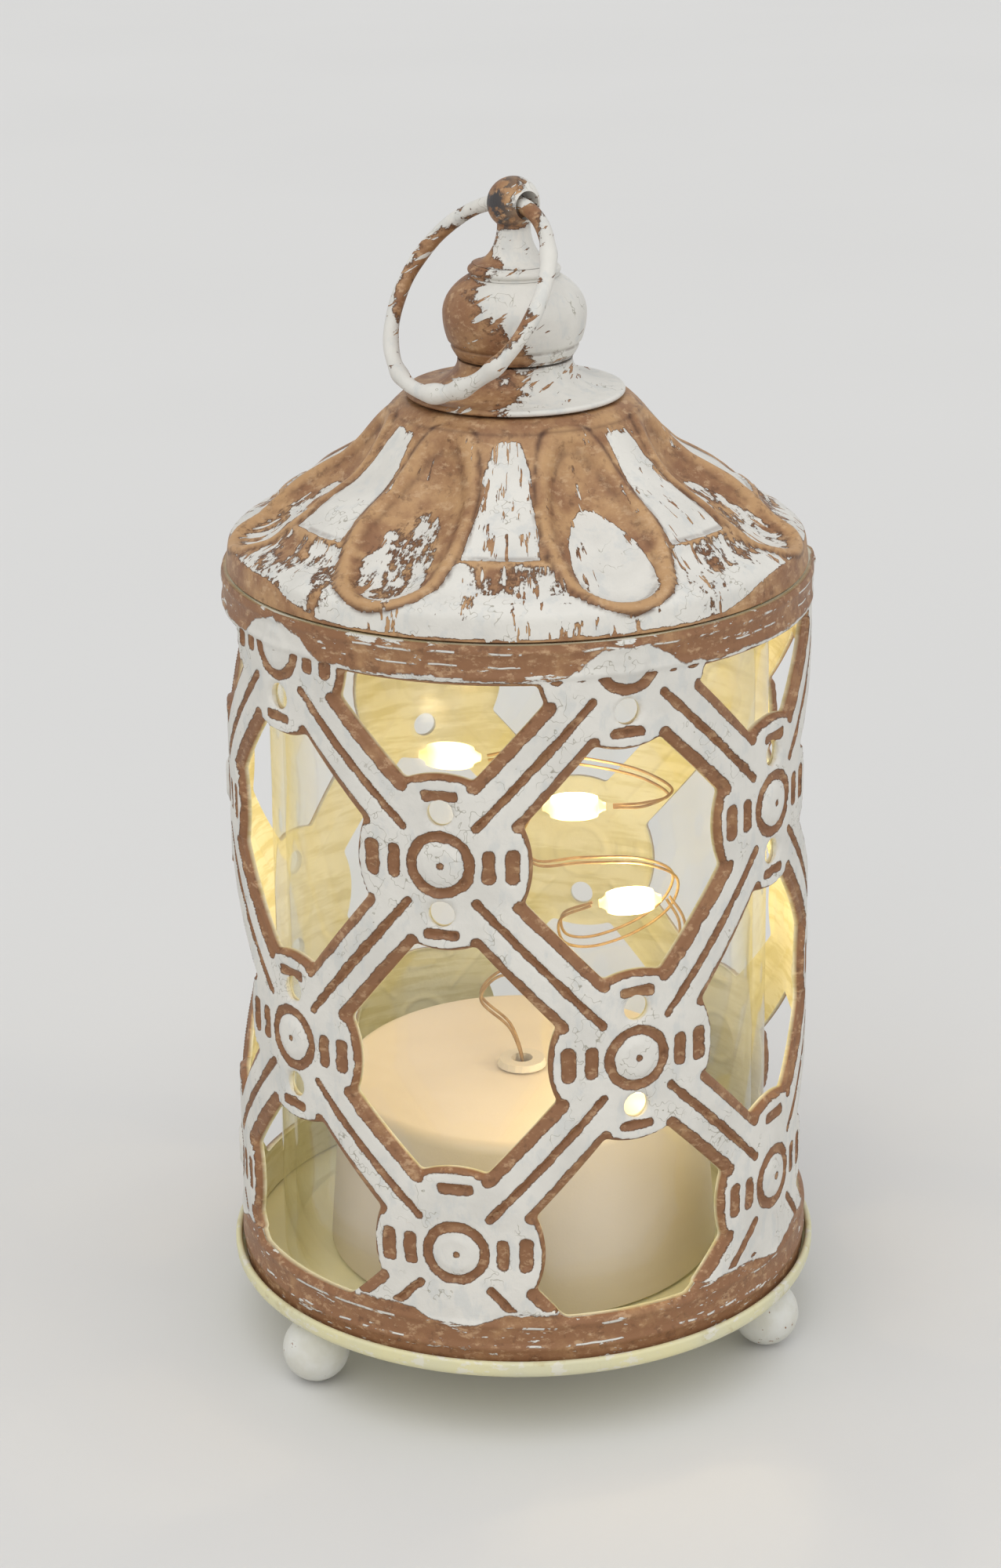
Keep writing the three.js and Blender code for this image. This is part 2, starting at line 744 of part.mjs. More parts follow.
// A block that covers a stretch of a ring, from one radius to another.
function ringSector(inner, outer, azimuth, sweep, bottom, top) {
  const shape = new THREE.Shape();
  const steps = 4;
  const at = (radius, k) => {
    const a = rad(-sweep / 2 + (sweep * k) / steps);
    return new THREE.Vector2(radius * Math.sin(a), -radius * Math.cos(a));
  };
  const points = [];
  for (let k = 0; k <= steps; k += 1) {
    points.push(at(outer, k));
  }
  for (let k = steps; k >= 0; k -= 1) {
    points.push(at(inner, k));
  }
  shape.setFromPoints(points);
  const geometry = new THREE.ExtrudeGeometry(shape, { depth: top - bottom, bevelEnabled: false });
  geometry.translate(0, 0, bottom);
  geometry.rotateZ(rad(azimuth));
  return toSolid(geometry);
}

const chamberTop = plateTop + lugChamberHeight;
const cellBottom = unitBottom + coverThickness + seat;
const guideTop = cellBottom + 2 * cellHeight + 3 * seat + contactSheet;
const pocketTop = guideTop + guideShelf;
const boardBottom = pocketTop + boardPostHeight + seat;

function addUnitPlate() {
  const guideOuter = cellGuideRadius + cellGuideWall;
  const plateHole = coverRadius + seat;
  let plate = toSolid(turned([
    [plateHole, unitBottom],
    [unitPlateRadius, unitBottom],
    [unitPlateRadius, plateTop],
    [chamberOuter, plateTop],
    [chamberOuter, chamberTop + guideShelf],
    [guideOuter, chamberTop + guideShelf],
    [guideOuter, pocketTop],
    [guideHole, pocketTop],
    [guideHole, guideTop],
    [cellGuideRadius, guideTop],
    [cellGuideRadius, chamberTop],
    [chamberRadius, chamberTop],
    [chamberRadius, plateTop],
    [plateHole, plateTop],
  ], roundSides));
  for (const azimuth of [noseAzimuth + lugTurn, noseAzimuth + lugTurn + 180]) {
    const sweep = lugSweep + lugSlackAngle;
    const notchTop = plateTop + seat / 2;
    const notch = ringSector(coverRadius - 1, chamberRadius, azimuth, sweep, unitBottom - 1, notchTop);
    plate = plate.subtract(notch);
  }
  for (const azimuth of screwAzimuths) {
    const place = polar(unitScrewPlace, azimuth, 0);
    const hole = rod(unitScrewRadius + seat, unitBottom - 1, plateTop + 1, 10, place.x, place.y);
    plate = plate.subtract(toSolid(hole));
  }
  const slotLength = knobLength + switchTravel + 2 * slip;
  const slot = block(knobWidth + 2 * slip, slotLength, unitBottom - 1, plateTop + 1);
  const slotPlace = polar(switchPlace, switchAzimuth, 0);
  slot.translate(slotPlace.x, slotPlace.y + switchTravel / 2, 0);
  plate = plate.subtract(toSolid(slot));
  const tabPlace = -(cellRadius + 2 * contactSheet);
  const tabWidth = contactWidth + 2 * slip;
  const tabSlot = block(contactSlotWidth, tabWidth, guideTop - 1, pocketTop + 1, tabPlace, 0);
  plate = plate.subtract(toSolid(tabSlot));
  for (let i = 0; i < 3; i += 1) {
    const place = polar(guideOuter - boardPostInset, 90 + 120 * i, 0);
    const postTop = pocketTop + boardPostHeight;
    const post = rod(boardPostRadius, pocketTop - boardPostRoot, postTop, 8, place.x, place.y);
    plate = plate.add(toSolid(post));
  }
  add('unit_base_plate', toGeometry(plate), whitePlastic);
}

function addUnitScrews() {
  screwAzimuths.forEach((azimuth, i) => {
    const place = polar(unitScrewPlace, azimuth, 0);
    const headTop = unitBottom - seat;
    const geometry = turned([
      [0, headTop - unitScrewHead],
      [unitScrewHeadRadius - unitScrewHeadEdge, headTop - unitScrewHead],
      [unitScrewHeadRadius, headTop - unitScrewHeadEdge],
      [unitScrewHeadRadius, headTop],
      [unitScrewRadius, headTop],
      [unitScrewRadius, plateTop + unitScrewLength],
      [0, plateTop + unitScrewLength + unitScrewRadius],
    ], 12);
    geometry.translate(place.x, place.y, 0);
    add(`unit_screw_${i + 1}`, geometry, steel);
  });
}

function addBatteryCover() {
  const lugBottom = plateTop + seat;
  let cover = toSolid(turned([
    [0, unitBottom],
    [coverRadius, unitBottom],
    [coverRadius, unitBottom + coverThickness],
    [coverNeckRadius, unitBottom + coverThickness],
    [coverNeckRadius, lugBottom + lugHeight],
    [coverNeckRadius - coverNeckWall, lugBottom + lugHeight],
    [coverNeckRadius - coverNeckWall, unitBottom + coverThickness],
    [0, unitBottom + coverThickness],
  ], 32));
  for (const azimuth of [noseAzimuth, noseAzimuth + 180]) {
    const lug = ringSector(
      coverNeckRadius - lugRoot, lugReach, azimuth, lugSweep, lugBottom, lugBottom + lugHeight);
    cover = cover.add(lug);
  }
  const slotLength = 2 * coverSlotShare * coverRadius;
  const coinSlot = block(slotLength, coverSlotWidth, unitBottom - 1, unitBottom + coverSlotDepth);
  cover = cover.subtract(toSolid(coinSlot));
  add('battery_cover', toGeometry(cover), whitePlastic);
}

function addCells() {
  for (let i = 0; i < 2; i += 1) {
    const bottom = cellBottom + i * (cellHeight + seat);
    add(`coin_cell_${i + 1}`, turned([
      [0, bottom],
      [cellRadius - cellEdge - cellEdgeBevel, bottom],
      [cellRadius - cellEdge, bottom + cellEdgeHeight - cellEdgeBevel],
      [cellRadius, bottom + cellEdgeHeight],
      [cellRadius, bottom + cellHeight],
      [0, bottom + cellHeight],
    ], 24), steel);
  }
}

function addContacts() {
  const leafBottom = cellBottom + 2 * (cellHeight + seat);
  const leafLength = 2 * contactLeafShare * cellRadius;
  const leaf = block(leafLength, contactWidth, leafBottom, leafBottom + contactSheet);
  const tongueWidth = contactWidth - 2 * contactTongueInset;
  const tongue = block(contactSheet * 2, tongueWidth, leafBottom, boardBottom - seat);
  add('contact_top', toGeometry(toSolid(leaf).add(toSolid(tongue))), brass);
  const sideInner = cellRadius + seat + 0.05;
  const sideBottom = plateTop + seat + lugHeight + slip;
  const side = block(contactSheet, contactWidth, sideBottom, boardBottom - seat);
  side.translate(-(sideInner + contactSheet / 2), 0, 0);
  add('contact_side', side, brass);
}

function addBoard() {
  add('circuit_board', rod(boardRadius, boardBottom, boardBottom + boardThickness, 28), greenBoard);
  const partBottom = boardBottom + boardThickness + seat;
  const chip = block(chipWidth, chipLength, partBottom, partBottom + chipHeight, -chipPlace);
  add('timer_chip', chip, darkPlastic);
  const place = polar(crystalPlace, crystalAzimuth, 0);
  const crystalTop = partBottom + crystalHeight;
  const crystal = rod(crystalRadius, partBottom, crystalTop, 10, place.x, place.y);
  add('timing_crystal', crystal, steel);
}

function addSwitch() {
  const place = polar(switchPlace, switchAzimuth, 0);
  const centreY = place.y + switchTravel / 2;
  const bodyBottom = plateTop + seat;
  const well = switchTravel + knobLength + 2 * slip;
  const wellWidth = knobWidth + 2 * slip;
  const wellTop = bodyBottom + switchWell;
  const shell = block(switchWidth, switchLength, bodyBottom, bodyBottom + switchHeight, place.x, centreY);
  const hollow = block(wellWidth, well, bodyBottom - 1, wellTop, place.x, centreY);
  const body = toSolid(shell).subtract(toSolid(hollow));
  add('switch_body', toGeometry(body), darkPlastic);
  const knob = block(knobWidth, knobLength, unitBottom - knobDrop, wellTop - slip, place.x, place.y);
  add('switch_knob', knob, darkPlastic);
}

function addGrommet() {
  add('wire_grommet', turned([
    [grommetBore, unitTop - unitWall],
    [grommetRadius, unitTop - unitWall],
    [grommetRadius, unitTop + seat],
    [grommetFlange, unitTop + seat],
    [grommetFlange - grommetFlangeEdge, unitTop + seat + grommetFlangeHeight],
    [grommetBore, unitTop + seat + grommetFlangeHeight],
  ], 20), darkPlastic);
}

// A place in the room over the light unit: two shares of its radius and one of its height.
function inRoom([x, y, rise]) {
  return [x * roomRadius, y * roomRadius, unitTop + rise * roomHeight];
}

// Where each lamp sits in the room, and the direction in which its length lies.
const lamps = [
  { at: [0.517, -0.4, 0.054], along: [1, 0.25, 0] },
  { at: [0.473, 0.033, 0.336], along: [1, 0.1, 0.04] },
  { at: [0.233, 0, 0.536], along: [1, 0, 0] },
  { at: [-0.3, 0.3, 0.593], along: [1, 0.15, -0.12] },
];

function lampEnd(index, side) {
  const lamp = lamps[index];
  const direction = new THREE.Vector3(...lamp.along).normalize();
  const reach = side * (ledLength / 2 + wireSpacing);
  return new THREE.Vector3(...inRoom(lamp.at)).addScaledVector(direction, reach);
}

function addLamps() {
  lamps.forEach((lamp, i) => {
    const end = ledLength / 2;
    const neck = end - ledNeckLength;
    const shoulder = end - ledShoulderLength;
    const middle = ledMiddleLength / 2;
    const geometry = turned([
      [0, -end],
      [ledTipRadius, -end],
      [ledNeckRadius, -neck],
      [ledShoulderRadius, -shoulder],
      [ledRadius, -middle],
      [ledRadius, middle],
      [ledShoulderRadius, shoulder],
      [ledNeckRadius, neck],
      [ledTipRadius, end],
      [0, end],
    ], 10);
    const direction = new THREE.Vector3(...lamp.along).normalize();
    const turn = new THREE.Quaternion().setFromUnitVectors(new THREE.Vector3(0, 0, 1), direction);
    geometry.applyQuaternion(turn);
    geometry.translate(...inRoom(lamp.at));
    add(`led_${i + 1}`, geometry, warmResin);
  });
}

// One wire of a pair. Both follow the same smooth points, each moved to its own side of them,
// and the side keeps square to the way the wire runs.
function addWire(name, route, side, spread, steps) {
  const middle = route.map((point) => new THREE.Vector3(...point));
  const last = middle.length - 1;
  const across = new THREE.Vector3(0, 1, 0);
  const points = middle.map((point, i) => {
    const before = middle[Math.max(i - 1, 0)];
    const after = middle[Math.min(i + 1, last)];
    const run = after.clone().sub(before).normalize();
    across.addScaledVector(run, -across.dot(run)).normalize();
    const bulge = 1 + spread * Math.sin((Math.PI * i) / last);
    return point.clone().addScaledVector(across, (side * bulge * wireSpacing) / 2);
  });
  const path = new THREE.CatmullRomCurve3(points, false, 'centripetal');
  const section = new THREE.Shape(circleOutline(wireRadius, 5).map(([x, y]) => new THREE.Vector2(x, y)));
  const geometry = new THREE.ExtrudeGeometry(section, { steps, bevelEnabled: false, extrudePath: path });
  add(name, toGeometry(toSolid(geometry)), copper);
}

function addWirePair(number, route, spread, steps) {
  addWire(`wire_${number}_a`, route, -1, spread, steps);
  addWire(`wire_${number}_b`, route, 1, spread, steps);
}

function addWires() {
  const grommetTop = unitTop + seat + grommetFlangeHeight;
  const boardTop = boardBottom + boardThickness + seat;
  const first = lampEnd(0, -1);
  addWirePair(1, [
    [0, 0, boardTop],
    [0, 0, unitTop],
    [0, 0, grommetTop],
    inRoom([-0.05, 0, 0.083]),
    inRoom([-0.177, 0, 0.147]),
    inRoom([-0.08, 0, 0.195]),
    inRoom([0.133, -0.067, 0.175]),
    inRoom([0.333, -0.3, 0.107]),
    [first.x, first.y, first.z],
  ], 0.9, 24);
  const second = lampEnd(0, 1);
  const third = lampEnd(1, 1);
  addWirePair(2, [
    [second.x, second.y, second.z],
    inRoom([0.743, -0.267, 0.083]),
    inRoom([0.733, -0.133, 0.151]),
    inRoom([0.7, -0.05, 0.242]),
    inRoom([0.693, 0, 0.303]),
    [third.x, third.y, third.z],
  ], 0.5, 14);
  const fourth = lampEnd(1, -1);
  const fifth = lampEnd(2, -1);
  addWirePair(3, [
    [fourth.x, fourth.y, fourth.z],
    inRoom([0.18, 0.05, 0.303]),
    inRoom([0.193, 0.133, 0.242]),
    inRoom([0.3, 0.183, 0.224]),
    inRoom([0.507, 0.2, 0.254]),
    inRoom([0.647, 0.183, 0.31]),
    inRoom([0.673, 0.167, 0.363]),
    inRoom([0.54, 0.1, 0.405]),
    inRoom([0.267, 0.033, 0.421]),
    inRoom([0.06, 0, 0.424]),
    inRoom([0.007, 0, 0.477]),
    [fifth.x, fifth.y, fifth.z],
  ], 0.7, 26);
  const sixth = lampEnd(2, 1);
  const seventh = lampEnd(3, 1);
  addWirePair(4, [
    [sixth.x, sixth.y, sixth.z],
    inRoom([0.533, 0, 0.539]),
    inRoom([0.647, 0.05, 0.554]),
    inRoom([0.54, 0.1, 0.581]),
    inRoom([0.267, 0.2, 0.596]),
    [seventh.x + leadRun, seventh.y, seventh.z + leadRise],
    [seventh.x, seventh.y, seventh.z],
  ], 0.7, 17);
}

addBasePan();
addFeet();
addCage();
addLiner();
addLid();
addLidCollar();
addFinial();
addEyeStem();
addCarryRing();
addUnitHousing();
addUnitPlate();
addUnitScrews();
addBatteryCover();
addCells();
addContacts();
addBoard();
addSwitch();
addGrommet();
addLamps();
addWires();

export default lantern;
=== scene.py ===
"""The looks of a small pressed-metal lattice lantern with a battery light string inside."""

import math

import bpy
import numpy as np
from mathutils import Matrix, Vector


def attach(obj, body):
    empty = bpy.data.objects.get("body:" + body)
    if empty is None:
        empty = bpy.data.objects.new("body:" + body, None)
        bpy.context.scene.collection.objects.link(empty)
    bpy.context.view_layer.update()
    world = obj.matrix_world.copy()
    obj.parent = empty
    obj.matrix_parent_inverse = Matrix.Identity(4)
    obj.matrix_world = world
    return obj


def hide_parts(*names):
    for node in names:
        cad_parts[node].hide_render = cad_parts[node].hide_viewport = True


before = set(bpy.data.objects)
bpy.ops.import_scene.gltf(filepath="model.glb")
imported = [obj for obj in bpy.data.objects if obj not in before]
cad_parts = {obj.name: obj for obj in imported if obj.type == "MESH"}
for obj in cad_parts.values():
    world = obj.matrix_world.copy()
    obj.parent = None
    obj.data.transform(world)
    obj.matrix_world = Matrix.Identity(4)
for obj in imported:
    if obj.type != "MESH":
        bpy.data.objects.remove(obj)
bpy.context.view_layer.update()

# Sizes in millimetres, as in the solids. Azimuths are in degrees, 0 at the front (-Y).
SEAT = 0.3
CAGE_RADIUS = 36.3
CAGE_SHEET = 1.0
CAGE_BOTTOM = 10.1
CAGE_TOP = 101.4
LOW_BAND_TOP = 16.3
HIGH_BAND_BOTTOM = 96.4
COLUMNS = 5
FIRST_COLUMN = -13.0
ROWS = (25.26, 48.90, 74.92, 98.39)
ROW_TURN = 0.9
PATTERN_LIFT = 1.39
MEDALLION_RADIUS = 10.9
BAR_HALF_WIDTH = 4.0
GROOVE_HALF_WIDTH = 0.5
GROOVE_INSET = 6.3
LEDGE_CENTRE = 3.45
LEDGE_HALF_WIDTH = 0.75
LEDGE_INSET = 9.9
HOLLOW_DEPTH = 0.45
BOSS_RADIUS = 2.9
BOSS_RISE = 0.35
# A medallion's upright slots: their place to each side, half width, half height and corner
SIDE_SLOTS = ((5.75, 0.75, 2.05, 0.6), (8.55, 0.85, 2.2, 0.7))
# Its level dashes: their place up or down, half width, half height and corner
DASH_ABOVE = (8.4, 2.2, 0.68, 0.5)
DASH_BELOW = (-8.7, 2.2, 0.6, 0.5)
CENTRE_PRICK = 0.4
BEADS = (12.6, 15.6, 97.6, 100.6)
BEAD_RISE = 0.22
BEAD_WIDTH = 0.38
EDGE_BLEND = 0.5
RING_GROOVE_RADIUS = 3.5
RING_GROOVE_HALF_WIDTH = 0.6
HOLE_RADIUS = 1.6
HOLE_OFFSET = 6.25
WALL_STEP = 0.3

LINER_RADIUS = CAGE_RADIUS - CAGE_SHEET - 4.2
LINER_WALL = 1.6
LINER_TOP = 99.1

PAN_RADIUS = CAGE_RADIUS + 1.2
PAN_BOTTOM = 9.0
PAN_FLOOR = 9.8
PAN_RIM = 11.3
PAN_HOLE = 21.5
FOOT_RADIUS = 4.2
FOOT_PLACE = PAN_RADIUS - 4.3
FIRST_FOOT = -52
FEET = 3

LID_BOTTOM = 101.7
LID_RISE = 20.3
LID_RADIUS = CAGE_RADIUS - 0.5
LID_TOP_RADIUS = 14.3
LID_SHEET = 0.8
DIMPLES = 7
FIRST_DIMPLE = -28.9
DIMPLE_DEPTH = 2.2
DIMPLE_HALF_WIDTH = 5.6
DIMPLE_MIDDLE = 0.42
DIMPLE_DROP = 0.25
DIMPLE_CLIMB = 0.4
DIMPLE_TAPER = 0.22
# Shares of the way up the lid's slope
LID_RIDGE = 0.35
LID_CROWN = 0.9

STEM_BORE = 1.8
SKIRT_BOTTOM = 122.3
SKIRT_HEIGHT = 4.3
SKIRT_RADIUS = 13.4
SKIRT_NECK = 7.0
BALL_BOTTOM = 126.9
BALL_HEIGHT = 9.8
BALL_RADIUS = 8.75
DISC_BOTTOM = 137.0
DISC_RADIUS = 5.65
DISC_HEIGHT = 1.0
NECK_BOTTOM = 138.3
NECK_HEIGHT = 4.7
NECK_FOOT_RADIUS = 5.0
NECK_RADIUS = 2.0
EYE_HEIGHT = 145.4976
EYE_RADIUS = 3.2
EYE_HOLE = 1.75

RING_RADIUS = 12.66
RING_WIRE = 1.05
RING_AZIMUTH = -52
RING_LEAN = 33.5
# Round the ring in radians from the eye: where, how wide, and how high or how bare
RING_LUMPS = (
    (2.95, 0.14, 0.36), (2.62, 0.1, 0.3), (2.2, 0.1, 0.24), (3.6, 0.1, 0.16), (0.95, 0.1, 0.22))
RING_BARE = ((0.45, 0.28, 0.75), (1.75, 0.38, 0.62), (4.7, 0.3, 0.45), (5.2, 0.25, 0.4))

UNIT_BOTTOM = 10.1
UNIT_TOP = 33.0
UNIT_FOOT_RADIUS = 25.0
UNIT_TOP_RADIUS = 23.4
UNIT_WALL = 1.4
GROMMET_HOLE = 2.4

# Heights and half widths of the white lines left along the two bands
BAND_LINES = ((97.3, 0.15), (98.9, 0.10), (100.5, 0.13), (15.3, 0.18), (12.9, 0.11))

ROOM_RADIUS = LINER_RADIUS - LINER_WALL
ROOM_HEIGHT = 66.1
LED_LENGTH = 8.0
LED_RADIUS = 1.8
LEAD_RADIUS = 0.19
LEAD_SPACING = 0.9
LAMPS = (
    ((0.517, -0.4, 0.054), (1, 0.25, 0)),
    ((0.473, 0.033, 0.336), (1, 0.1, 0.04)),
    ((0.233, 0, 0.536), (1, 0, 0)),
    ((-0.3, 0.3, 0.593), (1, 0.15, -0.12)),
)
# How bright each lamp's middle looks beside the others, and the power of the light over it
LAMP_LIGHT = (1, 1, 0.55, 0.35)
LAMP_POWER = (0.009, 0.016, 0.016, 0.0015)

# The floor's reach to each side in metres, and the camera that took the photograph
FLOOR_REACH = 6.0
CAMERA_PLACE = (0, -0.4, 0.2188)
CAMERA_PITCH = 16.23
CAMERA_YAW = -0.29
CAMERA_ROLL = -0.65
SENSOR = 36
FOCAL_PIXELS = 4312
PHOTO_PIXELS = 2000
FRAME_SHIFT = -0.15

# Plain colours, as they would be read off under white light
OFF_WHITE = (0.71, 0.69, 0.635)
PAINT_SHADE = (0.36, 0.34, 0.28)
COOL_GREY = (0.52, 0.545, 0.54)
BROWN = (0.26, 0.125, 0.058)
DARK_BROWN = (0.085, 0.036, 0.016)
LIGHT_BROWN = (0.48, 0.285, 0.135)
PALE_BROWN = (0.60, 0.40, 0.23)
CREAM = (0.80, 0.77, 0.55)
STALE_CREAM = (0.74, 0.69, 0.43)
OLIVE = (0.62, 0.56, 0.27)
FLOOR = (0.692, 0.687, 0.672)


def rad(degrees):
    return math.radians(degrees)


def polar(radius, azimuth, height):
    """A point in metres from millimetres and degrees."""
    a = rad(azimuth)
    return Vector((radius * math.sin(a), -radius * math.cos(a), height)) / 1000


def smooth(low, high, value):
    """Rises smoothly from 0 to 1 as value passes from low to high."""
    t = np.clip((value - low) / (high - low), 0, 1)
    return t * t * (3 - 2 * t)


def hill(value, top, width):
    """1 where value is at top, falling away smoothly to nearly 0 two widths from it."""
    return np.exp(-(((value - top) / width) ** 2))


def put_in_scene(name, data):
    made = bpy.data.objects.new(name, data)
    bpy.context.scene.collection.objects.link(made)
    return made


# Building materials


class Paint:
    """One material and short calls that add its nodes."""

    def __init__(self, name):
        self.material = bpy.data.materials.new(name)
        self.material.use_nodes = True
        self.tree = self.material.node_tree
        self.tree.nodes.clear()
        self.output = self.node("ShaderNodeOutputMaterial")
        place = self.node("ShaderNodeTexCoord").outputs["Object"]
        self.place = self.scaled(place, (1000, 1000, 1000))

    def node(self, kind, **settings):
        made = self.tree.nodes.new(kind)
        for key, value in settings.items():
            setattr(made, key, value)
        return made

    def put(self, socket, value):
        if isinstance(value, bpy.types.NodeSocket):
            self.tree.links.new(value, socket)
        elif socket.type == "RGBA" and len(value) == 3:
            socket.default_value = (*value, 1)
        else:
            socket.default_value = value

    def scaled(self, vector, factors):
        made = self.node("ShaderNodeVectorMath", operation="MULTIPLY")
        self.put(made.inputs[0], vector)
        self.put(made.inputs[1], factors)
        return made.outputs[0]

    def math(self, operation, a, b=0.0):
        made = self.node("ShaderNodeMath", operation=operation)
        self.put(made.inputs[0], a)
        self.put(made.inputs[1], b)
        return made.outputs[0]

    def plus(self, a, b):
        return self.math("ADD", a, b)

    def minus(self, a, b):
        return self.math("SUBTRACT", a, b)

    def rest(self, value):
        return self.math("SUBTRACT", 1.0, value)

    def times(self, a, b):
        return self.math("MULTIPLY", a, b)

    def most(self, a, b):
        return self.math("MAXIMUM", a, b)

    def step(self, value, low, high):
        """Rises smoothly from 0 to 1 as value passes from low to high."""
        made = self.node("ShaderNodeMapRange", interpolation_type="SMOOTHSTEP")
        self.put(made.inputs["Value"], value)
        self.put(made.inputs["From Min"], low)
        self.put(made.inputs["From Max"], high)
        return made.outputs["Result"]

    def noise(self, scale, detail=3.0, roughness=0.55, vector=None, stretch=(1, 1, 1)):
        """Noise with about `scale` features to the millimetre."""
        made = self.node("ShaderNodeTexNoise")
        source = self.place if vector is None else vector
        self.put(made.inputs["Vector"], self.scaled(source, stretch))
        self.put(made.inputs["Scale"], scale)
        self.put(made.inputs["Detail"], detail)
        self.put(made.inputs["Roughness"], roughness)
        return made.outputs["Fac"]

    def around_zero(self, value, amount):
        """Noise moved to lie about zero, up to about `amount` to each side."""
        return self.times(self.minus(value, 0.5), 3 * amount)

    def mix(self, factor, a, b):
        made = self.node("ShaderNodeMix", data_type="RGBA")
        self.put(made.inputs["Factor"], factor)
        self.put(made.inputs["A"], a)
        self.put(made.inputs["B"], b)
        return made.outputs["Result"]

    def attribute(self, name):
        return self.node("ShaderNodeAttribute", attribute_name=name).outputs["Fac"]

    def vector_attribute(self, name):
        return self.node("ShaderNodeAttribute", attribute_name=name).outputs["Vector"]

    def bump(self, height, distance, strength=1.0, under=None):
        made = self.node("ShaderNodeBump")
        self.put(made.inputs["Height"], height)
        self.put(made.inputs["Distance"], distance / 1000)
        self.put(made.inputs["Strength"], strength)
        if under is not None:
            self.put(made.inputs["Normal"], under)
        return made.outputs["Normal"]

    def surface(self, **inputs):
        shader = self.node("ShaderNodeBsdfPrincipled")
        for key, value in inputs.items():
            self.put(shader.inputs[key.replace("_", " ")], value)
        self.put(self.output.inputs["Surface"], shader.outputs[0])
        return shader


def mix_shaders(paint, share, a, b):
    """Makes the surface of two shaders, the second one by its share."""
    both = paint.node("ShaderNodeMixShader")
    for socket, value in zip(both.inputs, (share, a.outputs[0], b.outputs[0])):
        paint.put(socket, value)
    paint.put(paint.output.inputs["Surface"], both.outputs[0])
    return paint.material


def white_tone(paint):
    """Brushed off-white paint with faint clouds and a few dark hairline scratches."""
    clouds = paint.noise(0.12, 4)
    tone = paint.mix(paint.step(clouds, 0.35, 0.75), OFF_WHITE, tuple(0.88 * c for c in OFF_WHITE))
    lines = paint.math("ABSOLUTE", paint.around_zero(paint.noise(0.42, 2, 0.6), 0.33))
    thin = paint.rest(paint.step(lines, 0.0, 0.012))
    sparse = paint.step(paint.noise(0.16, 1), 0.52, 0.60)
    scratch = paint.times(thin, sparse)
    streaks = paint.step(paint.noise(0.5, 4, 0.62, stretch=(1, 1, 0.5)), 0.5, 0.66)
    tone = paint.mix(paint.times(streaks, 0.4), tone, COOL_GREY)
    return paint.mix(scratch, tone, PAINT_SHADE)


def brown_tone(paint, signal, lightness=0.0):
    """Worn brown under the paint, darkest along the paint's broken edge."""
    clouds = paint.noise(0.2, 5, 0.62)
    clouds = paint.plus(clouds, lightness)
    tone = paint.mix(paint.step(clouds, 0.4, 0.75), BROWN, LIGHT_BROWN)
    blots = paint.step(paint.noise(0.7, 4, 0.65), 0.54, 0.70)
    tone = paint.mix(paint.times(blots, 0.45), tone, DARK_BROWN)
    rubbed = paint.step(paint.noise(0.55, 5, 0.7, stretch=(1, 1, 1.8)), 0.52, 0.66)
    tone = paint.mix(paint.times(rubbed, 0.55), tone, PALE_BROWN)
    edge = paint.rest(paint.step(signal, 0.02, 0.16))
    return paint.mix(paint.times(edge, 0.85), tone, DARK_BROWN)


def painted(paint, signal, bare, extra=None, lightness=0.0, crease_shade=None):
    """White paint over brown. Where bare is 1 the brown shows; signal is 0 at its edge."""
    colour = paint.mix(bare, white_tone(paint), brown_tone(paint, signal, lightness))
    # Painted shade: dark brown lines along the grooves and gaps the mesh marks, broken up by noise.
    if crease_shade is not None:
        broken = paint.step(paint.noise(0.5, 3, 0.6), 0.3, 0.55)
        colour = paint.mix(paint.times(crease_shade, broken), colour, DARK_BROWN)
    if extra is not None:
        colour = paint.mix(extra[0], colour, extra[1])
    grain = paint.noise(2.2, 3, 0.6)
    brush = paint.noise(0.9, 3, 0.5)
    layer = paint.rest(bare)
    soft = paint.bump(brush, 0.25, 0.35)
    fine = paint.bump(grain, 0.06, 0.4, soft)
    normal = paint.bump(layer, 0.12, 0.8, fine)
    rough = paint.plus(0.62, paint.times(bare, -0.14))
    paint.surface(Base_Color=colour, Roughness=rough, Normal=normal, Specular_IOR_Level=0.35)
    return paint.material


def band_lines(paint):
    """Thin broken lines of white along the bands' raised beads."""
    parts = paint.node("ShaderNodeSeparateXYZ")
    paint.put(parts.inputs[0], paint.place)
    height = paint.plus(parts.outputs[2], paint.around_zero(paint.noise(0.09, 3), 0.5))
    lines = None
    for level, half_width in BAND_LINES:
        off = paint.math("ABSOLUTE", paint.minus(height, level))
        line = paint.rest(paint.step(off, 0.7 * half_width, 1.3 * half_width))
        lines = line if lines is None else paint.most(lines, line)
    broken = paint.step(paint.noise(0.16, 4, 0.7), 0.53, 0.56)
    return paint.times(lines, broken)


